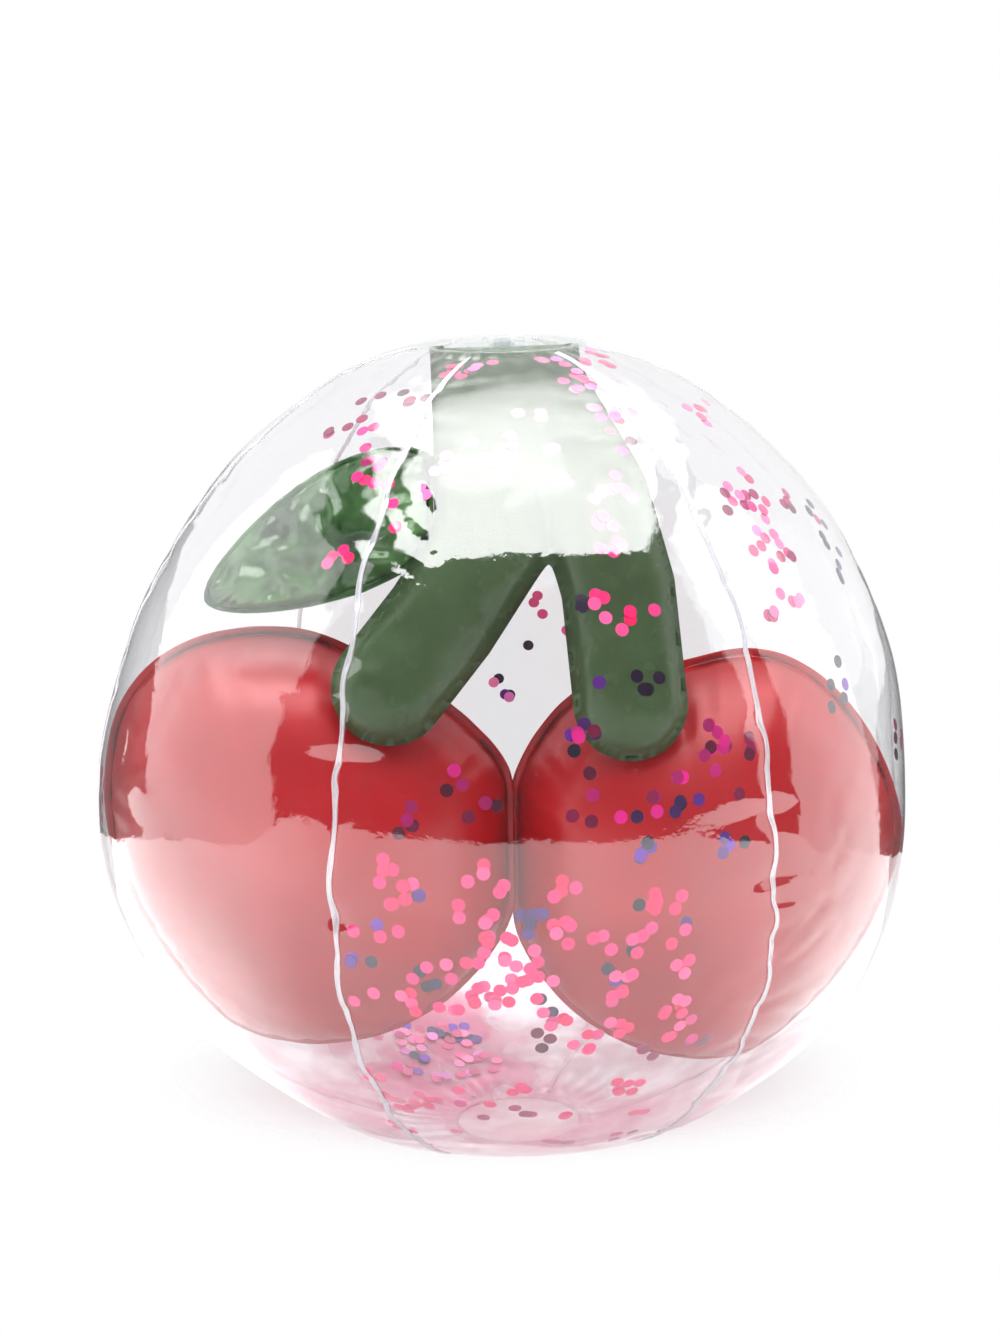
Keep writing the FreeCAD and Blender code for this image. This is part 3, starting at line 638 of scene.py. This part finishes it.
def make_stems():
    """Both sheets of the forked stems, drawn as a fine grid that is trimmed to the weld rim."""
    sides = zip(stem_grid_low, stem_grid_size)
    lines = [low + stem_cell * np.arange(int(size / stem_cell)) for low, size in sides]
    points = np.stack(np.meshgrid(*lines), -1)
    under_cap = -film / math.cos(stem_lean) - stem_cap_gap
    inside = (stem_depth(points) > -stem_weld_rim) & (points[..., 1] < under_cap + stem_cell)
    solid = inside.ravel()
    keep = [face for face in grid_faces(*inside.shape) if all(solid[v] for v in face)]
    used = sorted({v for face in keep for v in face})
    number = {v: k for k, v in enumerate(used)}
    faces = [tuple(number[v] for v in face) for face in keep]
    flat = points.reshape(-1, 2)[used]
    edges = {}
    for face in faces:
        for a, b in zip(face, face[1:] + face[:1]):
            edges[frozenset((a, b))] = edges.get(frozenset((a, b)), 0) + 1
    border = sorted({v for pair, times in edges.items() if times == 1 for v in pair})
    for _ in range(4):                                         # slide the border out to the rim's own line
        here = flat[border]
        gap = stem_depth(here) + stem_weld_rim
        steps = stem_probe * np.eye(2)
        slope = np.stack([stem_depth(here + s) - stem_depth(here - s) for s in steps], -1) / (2 * stem_probe)
        flat[border] = here - slope * (gap / np.maximum((slope ** 2).sum(-1), 0.2))[:, None]
        flat[:, 1] = np.minimum(flat[:, 1], under_cap)
    bulge = stem_height(flat)
    wrinkle = waves(np.column_stack([flat, 0 * bulge]), (0.012, 0.03), 30, 11)
    bulge = bulge + np.clip(bulge / 0.006, 0, 1) * stem_wrinkle * wrinkle
    for half, sign in halves:
        height = sign * (film / 2 + np.maximum(bulge, 0))
        spots = [leaning @ Vector((x, y, z)) for (x, y), z in zip(flat, height)]
        limit = top_z - film - 0.0001
        spots = [Vector((p.x, p.y, min(p.z, limit))) for p in spots]
        piece = film_piece("stems_%s_film" % half, spots, [f[::sign] for f in faces])
        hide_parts("stems_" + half)
        dress(piece, green_vinyl)


def beside_stem(point):
    """How far a point of the leaning plane stands out from the left stem's axis, on the leaf's side."""
    (x0, drop0), (x1, drop1) = stem_runs["left"][1:3]
    run = math.dist((x0, drop0), (x1, drop1))
    below = (point[0] - x0) * (drop0 - drop1) + (point[1] - drop0) * (x1 - x0)
    return min(below / run, x0 - point[0])


def make_leaf():
    length = math.dist(leaf_tip, leaf_root)
    along = ((leaf_root[0] - leaf_tip[0]) / length, (leaf_root[1] - leaf_tip[1]) / length)
    middle = tuple((tip + root) / 2 for tip, root in zip(leaf_tip, leaf_root))
    stem_side = stem_half_widths["left"] + stem_seat_gap
    edge = []
    for k in range(around_count):
        turn = 2 * math.pi * (k + 0.5) / around_count
        share = (1 - math.cos(turn)) / 2
        swell = math.sin(math.pi * share ** (math.log(0.5) / math.log(leaf_widest)))
        width = leaf_half_width * swell ** leaf_fullness * (1 if turn < math.pi else -1)
        point = (
            leaf_tip[0] + along[0] * share * length - along[1] * width,
            leaf_tip[1] + along[1] * share * length + along[0] * width,
        )
        room, stand = beside_stem(middle) - stem_side, beside_stem(middle) - beside_stem(point)
        pull = min(1.0, room / stand) if stand > 0 else 1.0
        edge.append(tuple(m + pull * (p - m) for p, m in zip(point, middle)))
    edge = rounded([(x, -drop) for x, drop in edge], 5)
    behind = leaning @ Matrix.Translation((0, 0, -2 * film))
    for half, sign in halves:
        seed = 90 + (sign < 0)
        plane, apex = pillow(edge, (middle[0], -middle[1]), leaf_weld_rim, leaf_rise, sign, leaf_pucker, seed)
        away = np.clip(np.abs(plane[..., 2]) / 0.004, 0, 1)
        flat = plane.reshape(-1, 3)
        crumple = waves(flat, (0.009, 0.022), 40, 21 + sign) + 0.6 * waves(flat, (0.02, 0.05), 20, 31 + sign)
        plane[..., 2] += sign * leaf_crumple * away * crumple.reshape(plane.shape[:2])
        dress(pillow_piece("leaf_" + half, plane, apex, behind, sign), leaf_vinyl)


# ---- foil dots ----

def clump_spots(clusters, draw):
    """(turn, angle) of one colour's dots, in clumps that are thrown round the middle of each cluster."""
    for count, turn, angle, turn_reach, angle_reach in clusters:
        thrown = 0
        while thrown < count:
            clump_turn = turn + draw.uniform(-turn_reach, turn_reach)
            clump_angle = angle + draw.uniform(-angle_reach, angle_reach)
            for _ in range(draw.choice(clump_counts)):
                aside, up = draw.uniform(-dot_clump, dot_clump), draw.uniform(-dot_clump, dot_clump)
                spot_angle = clump_angle + math.degrees(up / ball_radius)
                spot_angle = max(low_angle + dot_end_angle, min(high_angle - dot_end_angle, spot_angle))
                radius = ball_radius * math.cos(math.radians(spot_angle))
                yield clump_turn + math.degrees(aside / radius), spot_angle
                thrown += 1


def make_dots(name, clusters, draw, taken):
    """A colour's loose dots: round discs that cling to the inside of the film, some over others."""
    spots = []
    for turn, angle in clump_spots(clusters, draw):
        if abs(turn % 180 - 90) < rim_turn and rim_angles[0] < angle < rim_angles[1]:
            continue
        spot = smooth_film(turn, angle)[0]
        for deeper, layer in zip(dot_layers, taken):
            if all(math.dist(spot, other) > 2 * dot_radius + dot_gap for other in layer):
                layer.append(spot)
                spots.append((turn, angle, deeper))
                break
    turns, angles, depths = (np.array(values) for values in zip(*spots))
    centres = film_points(turns, angles, -(film + dot_gap + depths))
    _, normals = smooth_film(turns, angles)
    tilts = random.Random(len(name))
    points, faces, tones = [], [], []
    for centre, normal in zip(centres, normals):
        tip = Vector([tilts.uniform(-dot_tip, dot_tip) for _ in range(3)])
        normal = (Vector(normal) + tip).normalized()
        side = normal.orthogonal().normalized()
        across = normal.cross(side)
        first = len(points)
        for depth in (0, dot_thick):
            for k in range(dot_sides):
                turn = 2 * math.pi * k / dot_sides
                arm = side * math.cos(turn) + across * math.sin(turn)
                points.append(Vector(centre) - normal * depth + arm * dot_radius)
        top = tuple(range(first, first + dot_sides))
        under = tuple(range(first + dot_sides, first + 2 * dot_sides))
        faces += [top, under[::-1]]
        faces += [
            (top[k], under[k], under[(k + 1) % dot_sides], top[(k + 1) % dot_sides]) for k in range(dot_sides)
        ]
        tones += [tilts.random()] * (dot_sides + 2)
    piece = new_piece(name + "_loose", points, faces)
    piece.data.shade_flat()
    tone = piece.data.attributes.new("tone", "FLOAT", "FACE")
    tone.data.foreach_set("value", tones)
    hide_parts(name)
    return piece


# ---- materials ----

class Graph:
    """The shader nodes of one material or world."""

    def __init__(self, owner):
        owner.use_nodes = True
        owner.node_tree.nodes.clear()
        self.owner, self.tree = owner, owner.node_tree

    def feed(self, node, inputs):
        """Give inputs, by name or in order, another node's output or a plain value."""
        for place, value in inputs.items() if isinstance(inputs, dict) else enumerate(inputs):
            socket = node.inputs[place]
            if isinstance(value, bpy.types.NodeSocket):
                self.tree.links.new(value, socket)
            else:
                socket.default_value = (*value, 1) if socket.type == "RGBA" else value
        return node

    def node(self, kind):
        return self.tree.nodes.new("ShaderNode" + kind)

    def add(self, kind, inputs=(), output=0):
        """One output of a new node."""
        return self.feed(self.node(kind), inputs).outputs[output]

    def sum(self, operation, first, second):
        """The result of a math node."""
        node = self.node("Math")
        node.operation = operation
        return self.feed(node, (first, second)).outputs[0]

    def times(self, first, second):
        return self.sum("MULTIPLY", first, second)

    def plus(self, first, second):
        return self.sum("ADD", first, second)

    def vector(self, operation, *values):
        """The single number that a vector node gives."""
        node = self.node("VectorMath")
        node.operation = operation
        return self.feed(node, values).outputs["Value"]

    def fade(self, value, start, end, most=1.0, kind="SMOOTHSTEP"):
        """0 where the value is at start, up to most where it is at end."""
        node = self.node("MapRange")
        node.interpolation_type = kind
        self.feed(node, {"Value": value, "From Min": start, "From Max": end, "To Max": most})
        return node.outputs[0]

    def own(self, name):
        """A number that the mesh carries at each point or face."""
        node = self.node("Attribute")
        node.attribute_name = name
        return node.outputs["Fac"]

    def noise(self, scale, detail, rough=0.5):
        """Noise in the object's own metres."""
        place = self.add("TexCoord", output="Object")
        return self.add("TexNoise", {"Vector": place, "Scale": scale, "Detail": detail, "Roughness": rough})

    def ramp(self, value, stops):
        """A colour ramp of (position, colour) stops."""
        node = self.feed(self.node("ValToRGB"), (value,))
        elements = node.color_ramp.elements
        while len(elements) < len(stops):
            elements.new(0.5)
        for element, (position, colour) in zip(elements, stops):
            element.position = position
            element.color = (*colour, 1)
        return node.outputs["Color"]

    def bump(self, value, strength, distance):
        return self.add("Bump", {"Strength": strength, "Distance": distance, "Height": value})

    def mix(self, share, first, second):
        return self.add("MixShader", (share, first, second))

    def seen(self):
        """1 for a ray that shows what it meets: straight from the camera, mirrored or sent through."""
        kinds = ("Is Camera Ray", "Is Glossy Ray", "Is Transmission Ray")
        camera, mirrored, through = (self.add("LightPath", output=kind) for kind in kinds)
        return self.sum("MAXIMUM", self.sum("MAXIMUM", camera, mirrored), through)

    def surface(self, shader, output="OutputMaterial"):
        """The finished material or world, with this shader on its surface."""
        self.feed(self.node(output), {"Surface": shader})
        return self.owner


def new_graph(name):
    return Graph(bpy.data.materials.new(name))


def dress(piece, material):
    piece.data.materials.clear()
    piece.data.materials.append(material)


def glancing(graph, straight, most):
    """Share of light sent back by a clear sheet's face: straight on, rising to most at a glancing angle."""
    rise = graph.sum("POWER", graph.add("LayerWeight", {"Blend": 0.5}, "Facing"), 4.0)
    return graph.plus(graph.times(rise, most - straight), straight)


def dot_reflection_share(graph):
    """Share of the painted pink reflection of the dots on the film: a little low on the ball, and most beside
    the heap of dots.
    """
    place = graph.add("TexCoord", output="Object")
    low = graph.fade(graph.add("SeparateXYZ", (place,), "Z"), dot_reflection_height, 0.0, dot_reflection_low_most)
    heap = graph.fade(graph.vector("DISTANCE", place, heap_place), heap_reach, heap_core, heap_most)
    cloud = graph.fade(graph.noise(32, 2.0), 0.4, 0.62, kind="LINEAR")
    return graph.times(graph.sum("MAXIMUM", low, heap), graph.plus(graph.times(cloud, 0.7), 0.3))


def clear_material(name, tint, straight, most, haze, haze_colour, roughness, dot_reflection=0.0):
    """Clear film: it shows what is behind it, and sends back lamps and surroundings like thin plastic. It can
    carry a painted pink reflection of the dots.
    """
    graph = new_graph(name)
    cloud = graph.noise(14, 3.0)
    dust = graph.sum("GREATER_THAN", graph.noise(900, 1.0), 0.74)
    clear = graph.add("BsdfTransparent", {"Color": tint})
    veil = graph.add("BsdfPrincipled", {"Base Color": haze_colour, "Roughness": 0.5})
    body = graph.mix(graph.plus(graph.times(cloud, haze), graph.times(dust, 0.07)), clear, veil)
    # paint a pink reflection of the dots onto the film, low down and most by their heap
    if dot_reflection:
        reflected_dots = graph.add("BsdfPrincipled", {"Base Color": dot_reflection_pink, "Roughness": 0.6})
        body = graph.mix(graph.times(dot_reflection_share(graph), dot_reflection), body, reflected_dots)
    gloss = graph.add("BsdfGlossy", {
        "Color": white,
        "Roughness": graph.plus(graph.times(cloud, roughness), roughness * 0.5),
        "Normal": graph.bump(graph.noise(260, 2.0), 0.25, 0.0002),
    })
    return graph.surface(graph.mix(glancing(graph, straight, most), body, gloss))


def vinyl_material(name, dark, light, through, see_through, glow, roughness, specular, cloud_scale=18):
    """The figure's film: glossy, lit through from behind, a little see-through, with painted shade in dashes
    along its weld.
    """
    graph = new_graph(name)
    even = graph.ramp(graph.noise(cloud_scale, 4.0, 0.55), [(0.35, dark), (0.7, light)])
    broken = graph.ramp(graph.noise(46, 2.0), [(0.42, (0, 0, 0)), (0.56, white)])
    mixed = graph.node("Mix")
    mixed.data_type = "RGBA"
    # painted shade of the weld's puckers: dark dashes near the weld line
    line = graph.times(graph.times(graph.own("weld"), broken), 0.85)
    graph.feed(mixed, {"Factor": line, "A": even, "B": tuple(0.22 * part for part in dark)})
    colour = mixed.outputs["Result"]
    fine = graph.noise(120, 3.0)
    body = graph.add("BsdfPrincipled", {
        "Base Color": colour, "Specular IOR Level": specular,
        "Roughness": graph.plus(graph.times(fine, 0.12), roughness),
        "Normal": graph.bump(fine, 0.2, 0.0004),
    })
    lit = graph.mix(glow, body, graph.add("BsdfTranslucent", {"Color": colour}))
    return graph.surface(graph.mix(see_through, lit, graph.add("BsdfTransparent", {"Color": through})))


def foil_material(name, stops):
    """Thin coloured foil: each dot takes its own tone from the stops."""
    graph = new_graph(name)
    return graph.surface(graph.add("BsdfPrincipled", {
        "Base Color": graph.ramp(graph.own("tone"), stops), "Metallic": 0.3,
        "Roughness": graph.plus(graph.times(graph.noise(700, 1.0), 0.2), 0.3),
    }))


# ---- the pieces ----

white = (1, 1, 1)
# the painted pink reflection of the dots on the film: its colour, where it shows and how strong it is
dot_reflection_pink = (0.85, 0.16, 0.36)
dot_reflection_height = 0.1           # the painted reflection of the dots shows on the film below this
dot_reflection_low_most = 0.42
heap_place = (-0.038, 0.06, 0.012)
heap_reach = 0.075           # the painted reflection by the heap thins out from its core to here
heap_core = 0.012
heap_most = 1.7
clear_film = clear_material(
    "clear film", (0.979, 0.979, 0.984), 0.05, 0.7, 0.01, (0.9, 0.9, 0.93), 0.03, 0.95)
weld_film = clear_material("welded film", (0.92, 0.92, 0.95), 0.16, 0.6, 0.9, (0.88, 0.88, 0.92), 0.14)
cap_film = clear_material("cap film", (0.97, 0.98, 0.97), 0.035, 0.2, 0.04, (0.88, 0.92, 0.86), 0.06, 0.6)
valve_vinyl = clear_material("valve vinyl", (0.96, 0.97, 0.97), 0.06, 0.4, 0.22, (0.85, 0.87, 0.9), 0.12)
red_vinyl = vinyl_material(
    "red vinyl", (0.6, 0.0012, 0.007), (0.75, 0.003, 0.014), (0.9, 0.2, 0.24), 0.1, 0.3, 0.26, 0.75)
green_vinyl = vinyl_material(
    "green vinyl", (0.066, 0.117, 0.047), (0.098, 0.178, 0.07), (0.45, 0.7, 0.42), 0.06, 0.25, 0.2, 0.5)
# the leaf's dark and light greens, patched by noise, are painted shade and light of its crumpled film
leaf_vinyl = vinyl_material(
    "leaf vinyl", (0.012, 0.08, 0.012), (0.2, 0.44, 0.15), (0.6, 0.85, 0.6), 0.12, 0.3, 0.1, 0.9, 34)

for gore in range(1, gore_count + 1):
    dress(make_gore(gore), clear_film)
    dress(make_seam(gore), weld_film)
dress(make_cap("top_cap", top_cap_radius, top_z + film, 1, tube_hole_radius), cap_film)
dress(make_cap("bottom_cap", bottom_cap_radius, film, -1, 0), cap_film)
for side in cherries:
    make_cherry(side)
make_stems()
make_leaf()

foils = {
    # (position, colour) stops that each dot's own tone picks from
    "foil_dots_pink": ("pink_foil", [
        (0.0, (0.9, 0.004, 0.12)), (0.5, (1.0, 0.015, 0.22)), (0.8, (1.0, 0.12, 0.35)),
        (1.0, (0.75, 0.01, 0.2))]),
    "foil_dots_magenta": ("magenta_foil", [
        (0.0, (0.06, 0.002, 0.015)), (0.35, (0.26, 0.002, 0.06)), (0.7, (0.5, 0.004, 0.17)),
        (1.0, (0.9, 0.01, 0.3))]),
    "foil_dots_purple": ("purple_foil", [
        (0.0, (0.012, 0.004, 0.014)), (0.4, (0.03, 0.008, 0.05)), (0.75, (0.12, 0.01, 0.26)),
        (1.0, (0.2, 0.01, 0.5))]),
    "foil_dots_rose": ("rose_foil", [
        (0.0, (0.5, 0.05, 0.16)), (0.4, (0.8, 0.1, 0.3)), (0.8, (0.9, 0.25, 0.5)), (1.0, (0.7, 0.2, 0.6))]),
}
thrown, layers_taken = random.Random(dot_seed), [[] for _ in dot_layers]
for name, (slot, stops) in foils.items():
    group = make_dots(name, dots[name], thrown, layers_taken)
    dress(group, foil_material(slot.replace("_", " "), stops))

for valve in ("ball_valve", "figure_valve"):
    for part in ("flange", "tube", "stopper", "strap", "flap"):
        dress(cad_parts[valve + "_" + part], valve_vinyl)

# ---- the studio ----

camera_elevation = 14.87     # degrees, seen from the middle of the ball's widest circle
camera_distance = 1.286
camera_roll = -1.27
frame_height = 1334          # the photograph's frame, in its own pixels
focal_pixels = 2935
sensor = 36.0
aim_side = 9.4               # where the widest circle's middle shows, right of and below the frame's
aim_down = 129.0
world_light = 0.8            # what the world gives as light, and how white it shows
world_shown = 1.0
floor_half = 3.0
floor_colour = (0.68, 0.72, 0.715)
floor_lift = 0.3
floor_shade_middle = 0.08    # the shade lies under the ball and behind it
floor_shade_size = (0.2, 0.14)
floor_fade = (0.5, 1.0)
card_columns, card_rows = 48, 8
far_card, near_card, gap_card = 2.5, 1.75, 1.7               # how far three kinds of card stand from the ball
card_clearance = 0.004       # above the floor, and more for nearer cards, which lie over farther ones
card_clearance_rise = 0.2
dark_top, side_top = 76, 49  # how high up the cards reach, in degrees
dark_strength, side_strength = 0.02, 2.0
floor_foot = -60             # how low the bright floor's card reaches, and its share of strength there
floor_foot_share = 0.35
horizon = [
    # turn, angle where the bright floor ends and the room begins, the floor's strength
    (-128, -13, 3.0), (-113, -10.9, 3.0), (-100, -9.5, 3.0), (-94, -5, 3.0), (-73, -3, 2.9), (-68, -1.5, 2.8),
    (-64, 2, 2.6), (-60, 5.3, 2.5), (-54, 6.7, 2.3), (-45, 7.5, 2.0), (-27, 4.2, 1.9), (-18, 0.6, 1.8),
    (-8, -2, 1.8), (8, -0.5, 1.8), (37, 0, 1.8), (56, -1.7, 2.2), (70, -3.5, 2.4), (78, -8, 2.5),
    (82, -12, 2.5), (94, -12, 2.4), (103, -14.7, 2.3), (120, -16.8, 2.2),
]
dark_gaps = {
    # strength, and (turn, lowest angle, highest angle) along it
    "left": (0.15, [
        (-162, -16, 8), (-128, -13, 8.6), (-116, -11.2, 8.6), (-108, -10.3, 3.7), (-105, -9.8, 0)]),
    "right": (0.1, [
        (110.5, -15.7, -14), (112, -15.9, -10.7), (117, -16.4, -6.6), (121, -16.8, -3.9), (123, -17, -1.6),
        (162, -18, -1.6)]),
}
softbox_z = 1.6
softbox_strength = 8.4
softbox_corners = [(1.04, 1.3), (-0.74, 1.3), (-0.74, -0.76), (-0.1, -0.98), (0.2, -0.92), (1.04, -0.55)]
softbox_edges = (0.06, 0.06, 0.02, 0.66)


def make_camera():
    data = bpy.data.cameras.new("camera")
    data.sensor_fit = "VERTICAL"
    data.sensor_height = sensor
    data.lens = sensor * focal_pixels / frame_height
    camera = new_object("camera", data)
    rise = math.radians(camera_elevation)
    place = Vector((0, -math.cos(rise), math.sin(rise))) * camera_distance + Vector((0, 0, belly_z))
    down = rise - math.atan(aim_down / focal_pixels)
    aside = math.atan(aim_side / focal_pixels)
    look = Matrix.Rotation(aside, 4, "Z") @ Matrix.Rotation(math.pi / 2 - down, 4, "X")
    roll = Matrix.Rotation(math.radians(camera_roll), 4, "Z")
    camera.matrix_world = Matrix.Translation(place) @ look @ roll
    bpy.context.scene.camera = camera


def make_world():
    """Soft light all round, and plain white wherever the background itself is seen."""
    graph = Graph(bpy.data.worlds.new("white studio"))
    levels = (world_light, world_shown)
    soft, plain = (graph.add("Background", {"Color": white, "Strength": level}) for level in levels)
    bpy.context.scene.world = graph.surface(graph.mix(graph.seen(), soft, plain), "OutputWorld")


def make_floor():
    """A pale floor that keeps the ball's shadow and fades into the white behind it."""
    corners = [(x * floor_half, y * floor_half, 0) for x, y in ((-1, -1), (1, -1), (1, 1), (-1, 1))]
    floor = new_object("floor", plain_mesh("floor", corners, [(0, 1, 2, 3)]))
    graph = new_graph("pale floor")
    body = graph.add("BsdfDiffuse", {"Color": floor_colour})
    lift = graph.add("Emission", {"Color": white, "Strength": graph.times(graph.seen(), floor_lift)})
    wide, deep = floor_shade_size
    place = graph.add("Mapping", {
        "Vector": graph.add("TexCoord", output="Object"),
        "Location": (0, -floor_shade_middle / deep, 0), "Scale": (1 / wide, 1 / deep, 1),
    })
    gone = graph.fade(graph.vector("LENGTH", place), *floor_fade)
    shown = graph.add("AddShader", (body, lift))
    dress(floor, graph.surface(graph.mix(gone, shown, graph.add("BsdfTransparent"))))


def reflected_card(mesh, material):
    """A card of the studio that only shows in reflections."""
    card = new_object(mesh.name, mesh)
    dress(card, material)
    card.visible_camera = False
    card.visible_diffuse = False
    card.visible_transmission = False
    card.visible_shadow = False


def soft_edged(graph, edges):
    """1 in the middle of a flat card, down to 0 at its left, right, front and back over these shares."""
    result = 1.0
    for axis, side, edge in zip("XXYY", (0, 1, 0, 1), edges):
        place = graph.add("SeparateXYZ", (graph.add("TexCoord", output="Generated"),), axis)
        result = graph.times(graph.fade(place, side, abs(side - edge)), result)
    return result


def make_softbox():
    """The flat face of the softbox over the ball, softer towards its edges."""
    points = [(x, y, softbox_z) for x, y in softbox_corners]
    mesh = plain_mesh("softbox face", points, [tuple(range(len(points)))])
    graph = new_graph("softbox face")
    level = graph.times(soft_edged(graph, softbox_edges), softbox_strength)
    glow = graph.add("Emission", {"Color": white, "Strength": level})
    reflected_card(mesh, graph.surface(graph.add("AddShader", (glow, graph.add("BsdfTransparent")))))


def mirror_card(name, stops, distance, foot=1.0):
    """A card that is part of a sphere round the ball.

    Its stops are (turn, lowest angle, highest angle, strength), and it runs smoothly from each to the next.
    At its lowest angle its strength is down to the share foot.
    What would dip under the floor lies on it instead, where the ball's middle sees it in the same place.
    """
    clearance = max(0.002, card_clearance + card_clearance_rise * (near_card - distance))
    turns, lows, highs, strengths = zip(*stops)
    points, glows = [], []
    for r in range(card_rows + 1):
        for c in range(card_columns + 1):
            at = turns[0] + (turns[-1] - turns[0]) * c / card_columns
            low, high = np.interp(at, turns, lows), np.interp(at, turns, highs)
            up, turn = math.radians(low + (high - low) * r / card_rows), math.radians(at)
            away = distance if up >= 0 else min(distance, (belly_z - clearance) / math.sin(-up))
            level = away * math.cos(up)
            points.append((level * math.sin(turn), -level * math.cos(turn), belly_z + away * math.sin(up)))
            glows.append(np.interp(at, turns, strengths) * (foot + (1 - foot) * min(1, 2 * r / card_rows)))
    mesh = plain_mesh(name, points, grid_faces(card_rows + 1, card_columns + 1))
    mesh.attributes.new("strength", "FLOAT", "POINT").data.foreach_set("value", glows)
    graph = new_graph(name)
    glow = graph.add("Emission", {"Color": white, "Strength": graph.own("strength")})
    reflected_card(mesh, graph.surface(glow))


def over_horizon(first, last, top, strength):
    """The stops of a card that stands on the horizon between two turns."""
    return [(turn, low, top, strength) for turn, low, _ in horizon if first <= turn <= last]


def area_lamp(name, place, size, power):
    data = bpy.data.lights.new(name, "AREA")
    data.shape = "RECTANGLE"
    data.size, data.size_y = size
    data.energy = power
    lamp = new_object(name, data)
    lamp.location = place
    lamp.rotation_euler = (Vector((0, 0, belly_z)) - Vector(place)).to_track_quat("-Z", "Y").to_euler()
    lamp.visible_glossy = False


make_camera()
make_world()
make_floor()
area_lamp("softbox over the front", (0.05, -0.75, 1.35), (1.5, 1.2), 17)
for name, x in (("fill from the left", -1.3), ("fill from the right", 1.3)):
    area_lamp(name, (x, -0.3, 0.6), (0.8, 1.0), 5)
make_softbox()
mirror_card("dark room in front", over_horizon(-64, 78, dark_top, dark_strength), far_card)
for side, turns in (("left", (-125, -64)), ("right", (78, 125))):
    stops = [(turn, side_top, dark_top, dark_strength) for turn in turns]
    mirror_card("dark room over the " + side, stops, far_card)
for side, (strength, stops) in dark_gaps.items():
    mirror_card("gap behind " + side, [(*stop, strength) for stop in stops], gap_card)
lit_floor = [(turn, floor_foot, top, glow) for turn, top, glow in horizon]
mirror_card("bright floor", lit_floor, near_card, floor_foot_share)
mirror_card("upper side left", over_horizon(-128, -64, side_top, side_strength), near_card)
right_end = (113, -16, side_top, side_strength)
mirror_card("upper side right", over_horizon(78, 103, side_top, side_strength) + [right_end], near_card)

scene = bpy.context.scene
scene.view_settings.view_transform = "Standard"
scene.cycles.transparent_max_bounces = 40
